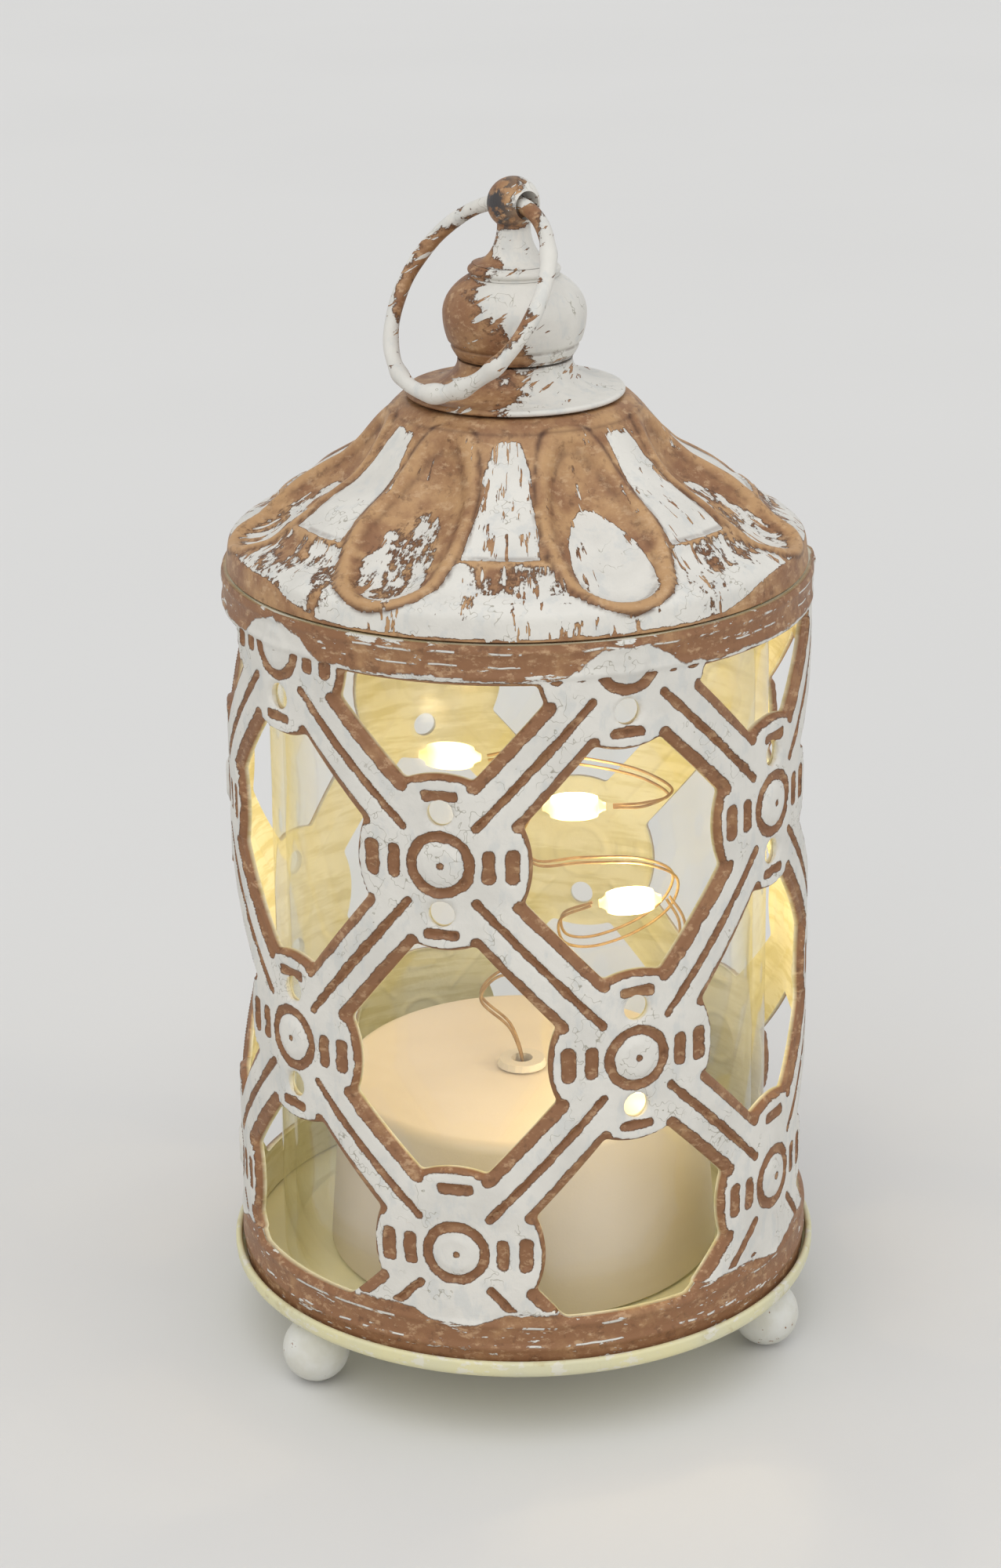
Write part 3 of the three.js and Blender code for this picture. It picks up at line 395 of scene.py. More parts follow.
def cage_paint():
    """Paint that has gone from the pressed hollows, the edges and most of both bands."""
    paint = Paint("cage_paint")
    small = paint.around_zero(paint.noise(0.6, 5, 0.68), 0.27)
    big = paint.around_zero(paint.noise(0.12, 2), 0.12)
    ragged = paint.plus(paint.plus(small, big), 0.05)
    signal = paint.plus(paint.attribute("hollow"), ragged)
    in_hollow = paint.step(signal, -0.05, 0.05)
    border = paint.around_zero(paint.noise(0.25, 5, 0.65), 0.9)
    band_signal = paint.plus(paint.attribute("band"), border)
    in_band = paint.step(band_signal, -0.12, 0.12)
    smear = paint.step(paint.noise(0.1, 6, 0.66, stretch=(1, 1, 4)), 0.63, 0.64)
    strokes = paint.step(paint.noise(0.42, 4, 0.6, stretch=(1, 1, 4)), 0.655, 0.665)
    smear = paint.most(paint.most(smear, strokes), band_lines(paint))
    in_band = paint.times(in_band, paint.rest(smear))
    bare = paint.most(in_hollow, in_band)
    edge = paint.most(signal, paint.times(band_signal, in_band))
    inside = paint.attribute("inside")
    warm = paint.mix(paint.step(paint.noise(0.1, 3), 0.35, 0.7), CREAM, STALE_CREAM)
    brushed = paint.step(paint.noise(0.24, 5, 0.62, stretch=(0.4, 0.4, 2.8)), 0.45, 0.60)
    warm = paint.mix(paint.times(brushed, 0.7), warm, OLIVE)
    return painted(paint, edge, bare, (inside, warm), lightness=-0.1)


def slanted_strokes(paint):
    """Short scrapes that climb to one side, some down to the brown and some of white."""
    turn = paint.node("ShaderNodeVectorRotate", rotation_type="Y_AXIS")
    paint.put(turn.inputs["Vector"], paint.place)
    paint.put(turn.inputs["Angle"], rad(28))
    thin = (0.3, 0.3, 1.7)
    scrape = paint.step(paint.noise(0.9, 3, 0.6, turn.outputs[0], thin), 0.60, 0.65)
    brush = paint.step(paint.noise(0.75, 3, 0.6, turn.outputs[0], thin), 0.59, 0.64)
    brush = paint.times(brush, paint.step(paint.noise(0.2, 2), 0.42, 0.55))
    return paint.times(paint.minus(scrape, brush), 0.5)


def lid_strokes(paint, flow):
    """Scrapes that run up and down the lid's slope, some down to the brown and some of white."""
    along = (1, 1, 0.16)
    scrape = paint.step(paint.noise(1.15, 3, 0.6, flow, along), 0.56, 0.62)
    scrape = paint.times(scrape, paint.step(paint.noise(0.13, 2), 0.44, 0.56))
    brush = paint.step(paint.noise(0.95, 3, 0.6, flow, along), 0.58, 0.64)
    brush = paint.times(brush, paint.step(paint.noise(0.17, 2), 0.5, 0.6))
    return paint.times(paint.minus(scrape, brush), 0.55)


def worn_paint_with_shade(name, stretch=(1, 1, 1), amount=0.9, scale=0.2, flow=False, lightness=0.0,
               rim_highlights=False, bead_shade=False):
    """Paint worn by the mesh's own measure of wear, broken up by noise, with painted shade and
    painted highlights from the mesh.
    """
    paint = Paint(name)
    source = paint.vector_attribute("flow") if flow else None
    big = paint.around_zero(paint.noise(scale, 5, 0.68, source, stretch), amount)
    small = paint.around_zero(paint.noise(0.9, 4, 0.6), 0.2)
    signal = paint.plus(paint.attribute("wear"), paint.plus(big, small))
    strokes = lid_strokes(paint, source) if flow else slanted_strokes(paint)
    signal = paint.plus(signal, strokes)
    bare = paint.step(signal, -0.03, 0.03)
    # Painted highlight: the mesh's paler rims lift the brown.
    if rim_highlights:
        rim = paint.times(paint.attribute("light"), 0.3)
        lightness = paint.plus(lightness, rim)
    dark = None
    # Painted shade: near-black spots on the shaded side of the eye's bead.
    if bead_shade:
        spots = paint.step(paint.noise(0.55, 4, 0.6), 0.45, 0.55)
        dark = (paint.times(spots, paint.attribute("bead_shade")), (0.055, 0.05, 0.05))
    # Painted shade in dark lines along the grooves and gaps.
    return painted(paint, signal, bare, dark, lightness, paint.attribute("crease_shade"))


def cream_paint():
    paint = Paint("pan_enamel")
    clouds = paint.step(paint.noise(0.09, 3), 0.3, 0.7)
    colour = paint.mix(clouds, (0.70, 0.65, 0.38), (0.62, 0.60, 0.42))
    stains = paint.step(paint.noise(0.3, 5, 0.65), 0.55, 0.68)
    colour = paint.mix(paint.times(stains, 0.55), colour, (0.50, 0.42, 0.20))
    rubbed = paint.step(paint.noise(0.42, 4, 0.65, stretch=(1, 1, 2)), 0.56, 0.60)
    colour = paint.mix(paint.times(rubbed, 0.6), colour, OFF_WHITE)
    normal = paint.bump(paint.noise(1.5, 3), 0.08, 0.4)
    across = paint.node("ShaderNodeVectorMath", operation="LENGTH")
    paint.put(across.inputs[0], paint.scaled(paint.place, (1, 1, 0)))
    rim = paint.step(across.outputs["Value"], PAN_RADIUS - 2.2, PAN_RADIUS - 1.2)
    colour = paint.mix(rim, paint.mix(clouds, (0.93, 0.89, 0.60), (0.88, 0.85, 0.60)), colour)
    paint.surface(Base_Color=colour, Roughness=0.45, Normal=normal)
    return paint.material


def foot_paint():
    paint = Paint("foot_paint")
    clouds = paint.step(paint.noise(0.3, 3), 0.3, 0.7)
    colour = paint.mix(clouds, (0.70, 0.70, 0.66), (0.62, 0.61, 0.54))
    chips = paint.step(paint.noise(0.75, 4, 0.6), 0.66, 0.68)
    colour = paint.mix(chips, colour, BROWN)
    normal = paint.bump(paint.noise(1.6, 3), 0.1, 0.35)
    paint.surface(Base_Color=colour, Roughness=0.4, Normal=normal)
    return paint.material


def clear_plastic():
    """Thin clear wall: light goes straight through, and its surfaces mirror at a slant."""
    paint = Paint("clear_wall")
    weight = paint.node("ShaderNodeLayerWeight")
    weight.inputs["Blend"].default_value = 0.5
    slant = weight.outputs["Facing"]
    # Painted reflection: at a slant the clear wall turns what shows through it yellow, for the
    # warm-lit inside mirrored in it.
    slant_reflection_tint = paint.mix(paint.step(slant, 0.5, 1.0), (0.99, 0.99, 0.98), (0.93, 0.91, 0.76))
    through = paint.node("ShaderNodeBsdfTransparent")
    paint.put(through.inputs["Color"], slant_reflection_tint)
    gloss = paint.node("ShaderNodeBsdfGlossy")
    gloss.inputs["Roughness"].default_value = 0.1
    paint.put(gloss.inputs["Color"], (1.0, 1.0, 1.0))
    waves = paint.bump(paint.noise(0.05, 2), 0.35, 0.5)
    paint.put(gloss.inputs["Normal"], waves)
    grazing = paint.math("POWER", slant, 4.0)
    share = paint.plus(0.045, paint.times(grazing, 0.7))
    return mix_shaders(paint, share, through, gloss)


def moulded_plastic(name, colour, other, roughness=0.42, grain=0.04):
    paint = Paint(name)
    clouds = paint.step(paint.noise(0.08, 3), 0.3, 0.7)
    tone = paint.mix(clouds, colour, other)
    normal = paint.bump(paint.noise(3.0, 2), grain, 0.4)
    rough = paint.plus(roughness, paint.around_zero(paint.noise(0.6, 3), 0.05))
    paint.surface(Base_Color=tone, Roughness=rough, Normal=normal)
    return paint.material


def bright_metal(name, colour, other, roughness=0.3, stretch=(1, 1, 6)):
    paint = Paint(name)
    brushed = paint.noise(1.2, 3, 0.6, stretch=stretch)
    tone = paint.mix(paint.step(brushed, 0.3, 0.7), colour, other)
    rough = paint.plus(roughness, paint.around_zero(brushed, 0.06))
    normal = paint.bump(brushed, 0.03, 0.5)
    paint.surface(Base_Color=tone, Metallic=1.0, Roughness=rough, Normal=normal)
    return paint.material


def board_look():
    """Green solder mask over faint copper tracks."""
    paint = Paint("board_mask")
    tracks = paint.node("ShaderNodeTexBrick")
    paint.put(tracks.inputs["Vector"], paint.scaled(paint.place, (0.5, 0.5, 0.5)))
    paint.put(tracks.inputs["Color1"], (0.03, 0.16, 0.07))
    paint.put(tracks.inputs["Color2"], (0.025, 0.13, 0.06))
    paint.put(tracks.inputs["Mortar"], (0.06, 0.26, 0.12))
    paint.surface(Base_Color=tracks.outputs["Color"], Roughness=0.4)
    return paint.material


def lit_resin():
    """Clear resin drop, lit from its middle and cooler towards its tips."""
    paint = Paint("lit_resin")
    middle = paint.attribute("middle")
    glow = paint.mix(middle, (1.0, 0.62, 0.22), (1.0, 0.90, 0.62))
    power = paint.plus(0.9, paint.times(middle, 6.0))
    cloud = paint.noise(0.8, 2)
    base = paint.mix(cloud, (0.95, 0.85, 0.6), (0.9, 0.78, 0.5))
    paint.surface(
        Base_Color=base, Roughness=0.12, Emission_Color=glow, Emission_Strength=power)
    return paint.material


def lead_metal():
    paint = Paint("lead_enamel")
    spots = paint.step(paint.noise(0.8, 3), 0.3, 0.7)
    tone = paint.mix(spots, (0.36, 0.22, 0.10), (0.50, 0.34, 0.17))
    paint.surface(Base_Color=tone, Metallic=0.7, Roughness=0.4)
    return paint.material


def floor_look():
    """A pale floor that keeps the lantern's shadow and can be looked through from below."""
    paint = Paint("pale_floor")
    clouds = paint.step(paint.noise(0.004, 3), 0.3, 0.7)
    colour = paint.mix(clouds, FLOOR, tuple(0.985 * c for c in FLOOR))
    shader = paint.surface(Base_Color=colour, Roughness=0.9, Specular_IOR_Level=0.1)
    clear = paint.node("ShaderNodeBsdfTransparent")
    back = paint.node("ShaderNodeNewGeometry").outputs["Backfacing"]
    return mix_shaders(paint, back, shader, clear)


# Building meshes


def finish_piece(mesh, material, body, stands_for, sharp=40):
    """Makes the object of a mesh that is already in place, in metres."""
    mesh.materials.append(material)
    mesh.polygons.foreach_set("use_smooth", [True] * len(mesh.polygons))
    mesh.set_sharp_from_angle(angle=rad(sharp))
    piece = put_in_scene(mesh.name, mesh)
    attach(piece, body)
    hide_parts(*stands_for)


def new_mesh(name, points, faces):
    mesh = bpy.data.meshes.new(name)
    mesh.from_pydata((np.asarray(points) / 1000).tolist(), [], faces)
    mesh.update()
    return mesh


def give(mesh, name, values):
    made = mesh.attributes.new(name, "FLOAT", "POINT")
    made.data.foreach_set("value", np.asarray(values, np.float32).ravel())


def give_vectors(mesh, name, values):
    made = mesh.attributes.new(name, "FLOAT_VECTOR", "POINT")
    made.data.foreach_set("vector", np.asarray(values, np.float32).ravel())


def loop_faces(rows, columns, closed_rows):
    """Faces between rows of points, each row closed round, and the rows closed if asked."""
    faces = []
    last = rows if closed_rows else rows - 1
    for i in range(last):
        low = i * columns
        high = ((i + 1) % rows) * columns
        for k in range(columns):
            n = (k + 1) % columns
            faces.append((low + k, low + n, high + n, high + k))
    return faces


def round_points(radius, angle, height):
    """Points about the lantern's axis. Angles are in radians, 0 at the front."""
    parts = np.broadcast_arrays(radius * np.sin(angle), -radius * np.cos(angle), height)
    return np.stack(parts, -1)


def rings(profile, sides):
    """The points of a profile of [radius, height] turned round the axis."""
    angles = np.linspace(0, 2 * math.pi, sides, endpoint=False)
    return np.concatenate([round_points(radius, angles, height) for radius, height in profile])


def turned(name, profile, sides=128):
    """A profile turned round the lantern's axis, given counter-clockwise."""
    return new_mesh(name, rings(profile, sides), loop_faces(len(profile), sides, True))


def arc(centre, radius, start, end, steps):
    """Points of a circle's arc in a profile, from one angle to another in degrees."""
    return [
        (centre[0] + radius * math.cos(rad(a)), centre[1] + radius * math.sin(rad(a)))
        for a in np.linspace(start, end, steps)
    ]


def turn_from_upright(direction):
    """The turn that lays an upright line along a direction."""
    return np.array(Vector((0, 0, 1)).rotation_difference(direction).to_matrix())


def points_of(mesh):
    co = np.empty(len(mesh.vertices) * 3, np.float32)
    mesh.vertices.foreach_get("co", co)
    return co.reshape(-1, 3) * 1000


def move_points(mesh, points):
    mesh.vertices.foreach_set("co", (np.asarray(points, np.float32) / 1000).ravel())
    mesh.update()


def ripple(points, length, seed):
    """A smooth wander between -1 and 1 through space, with waves of about one length."""
    rng = np.random.default_rng(seed)
    total = np.zeros(len(points))
    for _ in range(6):
        direction = rng.normal(size=3)
        direction *= 2 * math.pi / length / np.linalg.norm(direction)
        direction *= rng.uniform(0.7, 1.5)
        total += np.sin(points @ direction + rng.uniform(0, 2 * math.pi))
    return total / 6 * 1.6


# The lattice cage

ROUND = 2 * math.pi * CAGE_RADIUS


def wrapped(offset):
    return (offset + ROUND / 2) % ROUND - ROUND / 2


def capsule(along, across, half_length, half_width):
    past = np.maximum(np.abs(along) - half_length, 0)
    return half_width - np.hypot(past, across)


def round_box(x, y, half_x, half_y, corner):
    qx = np.abs(x) - (half_x - corner)
    qy = np.abs(y) - (half_y - corner)
    outside = np.hypot(np.maximum(qx, 0), np.maximum(qy, 0))
    return corner - outside - np.minimum(np.maximum(qx, qy), 0)


def soft_union(a, b, reach):
    h = np.clip(0.5 + 0.5 * (a - b) / reach, 0, 1)
    return b + (a - b) * h + reach * h * (1 - h)


def on_wall(row, place):
    """A medallion's arc and height. A place is half the way from one column to the next."""
    azimuth = rad(FIRST_COLUMN + 180 / COLUMNS * place - ROW_TURN * row)
    return azimuth * CAGE_RADIUS, ROWS[row] + PATTERN_LIFT * math.sin(azimuth)


def medallions():
    """The centres on the unrolled wall as (arc, height, row)."""
    return [
        (*on_wall(row, 2 * k + row % 2), row)
        for row in range(len(ROWS)) for k in range(COLUMNS)
    ]


def lattice_bars():
    """Both ends of every bar on the unrolled wall. Those of the lowest row go downwards too."""
    bars = []
    for row in range(len(ROWS) - 1):
        for k in range(COLUMNS):
            place = 2 * k + row % 2
            start = on_wall(row, place)
            for side in (-1, 1):
                end = on_wall(row + 1, place + side)
                bars.append((start, end))
                if row == 0:
                    bars.append((start, (end[0], 2 * start[1] - end[1])))
    return bars


def wall_fields(s, z):
    """What the pressed wall does at an arc and a height, in millimetres."""
    room = np.maximum(LOW_BAND_TOP - z, z - HIGH_BAND_BOTTOM)
    hollow = np.full(s.shape, -9.0)
    bars = np.full(s.shape, -9.0)
    holes = np.full(s.shape, -9.0)
    rise = np.zeros(s.shape)
    kept_white = np.zeros(s.shape)
    last_row = len(ROWS) - 1
    for start, end in lattice_bars():
        run, climb = end[0] - start[0], end[1] - start[1]
        half = math.hypot(run, climb) / 2
        dx, dz = run / (2 * half), climb / (2 * half)
        ds = wrapped(s - (start[0] + end[0]) / 2)
        dh = z - (start[1] + end[1]) / 2
        along = ds * dx + dh * dz
        across = -ds * dz + dh * dx
        bars = np.maximum(bars, capsule(along, across, half, BAR_HALF_WIDTH))
        groove = capsule(along, across, half - GROOVE_INSET, GROOVE_HALF_WIDTH)
        ledge = capsule(along, np.abs(across) - LEDGE_CENTRE, half - LEDGE_INSET, LEDGE_HALF_WIDTH)
        hollow = np.maximum(hollow, np.maximum(groove, ledge))
    room = soft_union(room, bars, EDGE_BLEND)
    for arc_at, height, row in medallions():
        ds = wrapped(s - arc_at)
        dh = z - height
        r = np.hypot(ds, dh)
        room = soft_union(room, MEDALLION_RADIUS - r, EDGE_BLEND)
        hollow = np.maximum(hollow, RING_GROOVE_HALF_WIDTH - np.abs(r - RING_GROOVE_RADIUS))
        for out, *size in SIDE_SLOTS:
            hollow = np.maximum(hollow, round_box(np.abs(ds) - out, dh, *size))
        if row < last_row:
            up, *size = DASH_ABOVE
            hollow = np.maximum(hollow, round_box(ds, dh - up, *size))
        if row > 0:
            up, *size = DASH_BELOW
            hollow = np.maximum(hollow, round_box(ds, dh - up, *size))
            holes = np.maximum(holes, HOLE_RADIUS - np.hypot(ds, dh + HOLE_OFFSET))
        if 0 < row < last_row:
            holes = np.maximum(holes, HOLE_RADIUS - np.hypot(ds, dh - HOLE_OFFSET))
        else:
            kept_white = np.maximum(kept_white, smooth(8.5, 2.0, np.hypot(ds, 0.55 * dh)))
        hollow = np.maximum(hollow, CENTRE_PRICK - np.hypot(ds - 0.1, dh))
        rise = np.maximum(rise, BOSS_RISE * smooth(0, 1.1, BOSS_RADIUS - r))
    in_band = np.maximum(LOW_BAND_TOP + 0.9 - z, z - HIGH_BAND_BOTTOM - 0.9)
    hollow = np.where(in_band > 0.6, np.minimum(hollow, 0.6 - in_band), hollow)
    hollow = np.maximum(hollow, 0.5 - room)
    hollow = np.where(in_band > -0.2, np.minimum(hollow, -0.2), hollow)
    room = np.minimum(room, -holes)
    band = in_band - 3.2 * kept_white
    for bead in BEADS:
        rise = rise + BEAD_RISE * hill(z, bead, BEAD_WIDTH)
    rise = rise - HOLLOW_DEPTH * smooth(0.0, 0.4, hollow)
    rise = rise - 0.35 * smooth(0.45, 0.0, room)
    return room, hollow, band, rise


def wall_grid():
    """The unrolled wall's points, with those near a cut edge moved onto it."""
    columns = int(round(ROUND / WALL_STEP))
    rows = int(round((CAGE_TOP - CAGE_BOTTOM) / WALL_STEP)) + 1
    arcs = np.arange(columns) * ROUND / columns
    heights = np.linspace(CAGE_BOTTOM, CAGE_TOP, rows)
    s, z = np.meshgrid(arcs, heights)
    room = wall_fields(s, z)[0]
    gs = (np.roll(room, -1, 1) - np.roll(room, 1, 1)) / (2 * ROUND / columns)
    gz = np.gradient(room, heights[1] - heights[0], axis=0)
    steep = gs * gs + gz * gz
    near = (np.abs(room) < 0.6 * WALL_STEP) & (steep > 0.1)
    near[0] = False
    near[-1] = False
    shift = np.where(near, -room / np.maximum(steep, 0.1), 0)
    return s + shift * gs, z + shift * gz, room, near | (room > 0)


def wall_faces(room, keep):
    """Four-cornered faces inside the cut edges, and three-cornered ones along them."""
    rows, columns = room.shape
    index = np.arange(rows * columns).reshape(rows, columns)
    corners = [index[:-1], np.roll(index, -1, 1)[:-1], np.roll(index, -1, 1)[1:], index[1:]]
    kept = [keep.ravel()[c] for c in corners]
    count = sum(k.astype(int) for k in kept)
    mean = sum(room.ravel()[c] for c in corners) / 4
    faces = []
    whole = (count == 4) & (mean > 0)
    faces.extend(np.stack([c[whole] for c in corners], 1).tolist())
    for missing in range(4):
        three = (count == 3) & ~kept[missing] & (mean > -0.35 * WALL_STEP)
        rest = [corners[i][three] for i in range(4) if i != missing]
        faces.extend(np.stack(rest, 1).tolist())
    return faces


def open_edges(faces):
    """The directed edges that only one face has."""
    seen = {}
    for face in faces:
        for a, b in zip(face, face[1:] + face[:1]):
            key = (a, b) if a < b else (b, a)
            seen[key] = None if key in seen else (a, b)
    return [edge for edge in seen.values() if edge]


def make_cage():
    s, z, room, keep = wall_grid()
    _, hollow, band, rise = wall_fields(s, z)
    faces = wall_faces(room, keep)
    used = np.unique(np.concatenate([np.asarray(f) for f in faces]))
    place = np.full(s.size, -1)
    place[used] = np.arange(len(used))
    outer_faces = [[int(place[i]) for i in face] for face in faces]
    s, z, rise = s.ravel()[used], z.ravel()[used], rise.ravel()[used]
    hollow, band = hollow.ravel()[used], band.ravel()[used]
    angle = s / CAGE_RADIUS
    outer = CAGE_RADIUS + rise
    inner = CAGE_RADIUS - CAGE_SHEET + 0.5 * np.minimum(rise, 0)
    layers = [round_points(r, angle, z) for r in (outer, inner)]
    count = len(used)
    inner_faces = [[i + count for i in reversed(face)] for face in outer_faces]
    walls = [(b, a, a + count, b + count) for a, b in open_edges(outer_faces)]
    mesh = new_mesh("cage_relief", np.concatenate(layers), outer_faces + inner_faces + walls)
    give(mesh, "hollow", np.concatenate([hollow, np.full(count, 0.6)]))
    give(mesh, "band", np.concatenate([band, np.full(count, -3.0)]))
    give(mesh, "inside", np.concatenate([np.zeros(count), np.ones(count)]))
    finish_piece(mesh, cage_paint(), "base", ["lattice_cage"], 50)


# The lid


def lid_line(share):
    """The lid's outer line at shares of the way up its slope, as radius and height."""
    outs = (1, 0.985, 0.92, 0.8, 0.68, 0.55, 0.43, 0.32, 0.22, 0.12, 0.04, 0)
    ups = (0, 0.14, 0.196, 0.25, 0.367, 0.475, 0.55, 0.615, 0.715, 0.85, 0.945, 0.985)
    knots = np.linspace(0, 1, len(outs))
    fine = np.linspace(0, 1, 400)
    kernel = np.hanning(31)
    kernel /= kernel.sum()
    lines = []
    for values in (outs, ups):
        line = np.interp(fine, knots, values)
        padded = np.pad(line, 15, mode="reflect", reflect_type="odd")
        lines.append(np.interp(share, fine, np.convolve(padded, kernel, "valid")))
    radius = LID_TOP_RADIUS + lines[0] * (LID_RADIUS - LID_TOP_RADIUS)
    return radius, LID_BOTTOM + lines[1] * LID_RISE


def dimple_reach(share, radius, azimuth):
    """0 in the middle of the nearest dimple and 1 at its hollow's rim, and degrees off its line."""
    pitch = 360 / DIMPLES
    off = (azimuth - FIRST_DIMPLE + pitch / 2) % pitch - pitch / 2
    above = share - DIMPLE_MIDDLE
    along = above / np.where(above < 0, DIMPLE_DROP, DIMPLE_CLIMB)
    width = DIMPLE_HALF_WIDTH * (1 - DIMPLE_TAPER * np.clip(along, 0, 1))
    return np.hypot(np.radians(off) * radius / width, along), off


def make_lid():
    columns = 360
    steps = 110
    share = np.linspace(0, 1, steps)
    radius, height = lid_line(share)
    out = np.gradient(height)
    up = -np.gradient(radius)
    length = np.hypot(out, up)
    out, up = out / length, up / length
    azimuth = np.arange(columns) * 360 / columns
    grid_share, grid_azimuth = np.meshgrid(share, azimuth, indexing="ij")
    grid_radius = radius[:, None] + 0 * grid_azimuth
    reach, off = dimple_reach(grid_share, grid_radius, grid_azimuth)
    depth = DIMPLE_DEPTH * np.clip(1 - (reach / 1.1) ** 2, 0, 1) ** 0.7
    rim = 0.36 * hill(reach, 1.24, 0.11)
    from_rib = (180 / DIMPLES - np.abs(off)) * np.radians(1) * grid_radius
    cross = hill(grid_share, LID_RIDGE, 0.014) * smooth(6.0, 4.5, from_rib)
    upright = hill(from_rib, 0, 0.7)
    upright = upright * smooth(0.24, 0.27, grid_share) * smooth(0.36, 0.33, grid_share)
    ridge = 0.45 * np.maximum(cross, upright)
    depth = depth - rim * smooth(0.98, 0.9, grid_share) * smooth(0.03, 0.08, grid_share) - ridge

    def layer(pressed):
        r = grid_radius - pressed * out[:, None]
        h = height[:, None] - pressed * up[:, None]
        return round_points(r, np.radians(grid_azimuth), h)

    def flat_ring(r, h):
        return round_points(r, np.radians(azimuth), h)[None]

    top = LID_BOTTOM + LID_RISE
    rows = np.concatenate([
        layer(depth),
        flat_ring(LID_TOP_RADIUS - 0.5, top - 0.05),
        flat_ring(LID_TOP_RADIUS - 1.2, top),
        flat_ring(STEM_BORE, top),
        flat_ring(STEM_BORE, top - LID_SHEET),
        flat_ring(LID_TOP_RADIUS - 1.2, top - LID_SHEET),
        layer(depth + LID_SHEET)[::-1],
    ])
    mesh = new_mesh("lid_shell", rows.reshape(-1, 3), loop_faces(len(rows), columns, True))
    wear, crease_shade, light = lid_wear_and_shade(grid_share, grid_azimuth, from_rib, reach, off)
    extra = len(rows) - 2 * steps
    wear = np.concatenate([wear, np.full((extra, columns), 0.6), np.full((steps, columns), 0.9)])
    give(mesh, "wear", wear)
    rest = np.zeros((extra + steps, columns))
    # The outer face carries the painted shade lines and the painted highlight; the rest carries
    # none.
    give(mesh, "crease_shade", np.concatenate([crease_shade, rest]))
    give(mesh, "light", np.concatenate([light, rest]))
    a = np.radians(azimuth)[None, :]
    run = np.concatenate([share, np.full(extra, 1.0), share[::-1]])[:, None] * 34 + 0 * a
    flow = np.stack([26 * np.sin(a) + 0 * run, 26 * np.cos(a) + 0 * run, run], -1)
    give_vectors(mesh, "flow", flow)
    look = worn_paint_with_shade("lid_paint", (1, 1, 0.4), 0.5, 0.34, flow=True, lightness=0.05, rim_highlights=True)
    finish_piece(mesh, look, "lid_assembly", ["lid"], 60)


def lid_wear_and_shade(share, azimuth, from_rib, reach, off):
    """Wear above 0 shows the brown. The dark lines are painted shade, and light is a painted
    highlight on the paler rims.

    White is left low in the dimples, on the ribs between them and on the flange.
    """
    wear = np.full(share.shape, 0.35)
    around = (azimuth + 180) % 360 - 180
    flange = smooth(0.36, 0.34, share)
    left = smooth(-34, -44, around) * smooth(-92, -80, around)
    right = smooth(40, 52, around) * smooth(0.18, 0.26, share)
    under_rib = smooth(4.5, 1.5, from_rib) * smooth(0.2, 0.25, share)
    worn = np.clip(0.2 * left + 0.26 * right + 0.24 * under_rib, 0, 0.3)
    wear = wear * (1 - flange) + (worn - 0.24) * flange
    rib_width = np.interp(share, (0.37, 0.85), (4.6, 1.7))
    rib = smooth(0.7, -0.7, from_rib - rib_width) * smooth(0.355, 0.37, share)
    rib = rib * smooth(0.93, 0.82, share)
    wear = wear - 0.72 * rib
    wall = smooth(1.42, 1.32, reach)
    wear = wear * (1 - wall) + 0.62 * wall
    patch = smooth(1.15, 0.85, np.hypot(off / (11.5 - 5 * share), (share - 0.39) / 0.235))
    full = smooth(-3, 3, azimuth_near(azimuth, 22.5))
    wear = wear - patch * (0.66 + 0.45 * full)
    crown = smooth(0.86, 0.9, share)
    wear = wear * (1 - crown) + 0.85 * crown
    side = np.abs(around)
    foot = 0.006 + 0.09 * smooth(38, 60, side) * smooth(150, 130, side)
    edge = smooth(0.012, -0.012, share - foot)
    wear = wear * (1 - edge) + 0.75 * edge
    # Painted shade: dark lines round the dimples' outer rims, along the ridge and round the crown.
    rim = hill(reach, 1.38, 0.045) + 0.5 * hill(reach, 1.0, 0.04)
    ridge = hill(share, 0.372, 0.006) * smooth(5.5, 4.5, from_rib)
    top = hill(share, LID_CROWN, 0.010)
    crease_shade = np.clip(0.85 * rim * smooth(0.98, 0.9, share) + 0.6 * ridge + 0.45 * top, 0, 1)
    # Painted highlight: paler brown along the dimples' raised rims, fading towards the top, and
    # along the ridge.
    light = hill(reach, 1.19, 0.12) * (1 - 0.7 * smooth(0.3, 0.62, share))
    light = light + hill(share, LID_RIDGE, 0.014)
    return wear, crease_shade, np.clip(light, 0, 1)


def azimuth_near(azimuth, centre):
    """How far an azimuth is inside a dimple's pitch about a centre, in degrees."""
    pitch = 180 / DIMPLES
    return pitch - np.abs((azimuth - centre + 180) % 360 - 180)


# The finial and the ring


def painted_shade_lines(heights, shade_heights):
    """Painted shade: dark lines at the given heights, each about a third of a millimetre wide."""
    lines = np.zeros(len(heights))
    for at in shade_heights:
        lines = np.maximum(lines, 0.65 * hill(heights, at, 0.16))
    return lines


def give_side_wear_and_shade(mesh, bias, tilt, wander=0.25, seed=3, shade_heights=()):
    """Wear that grows towards one side of a turned piece, and painted shade lines at the given
    heights.
    """
    points = points_of(mesh)
    centre = points.mean(0)
    size = np.abs(points - centre).max()
    wear = bias + ((points - centre) / size) @ np.asarray(tilt)
    give(mesh, "wear", wear + wander * ripple(points, 9, seed))
    give(mesh, "crease_shade", painted_shade_lines(points[:, 2], shade_heights))


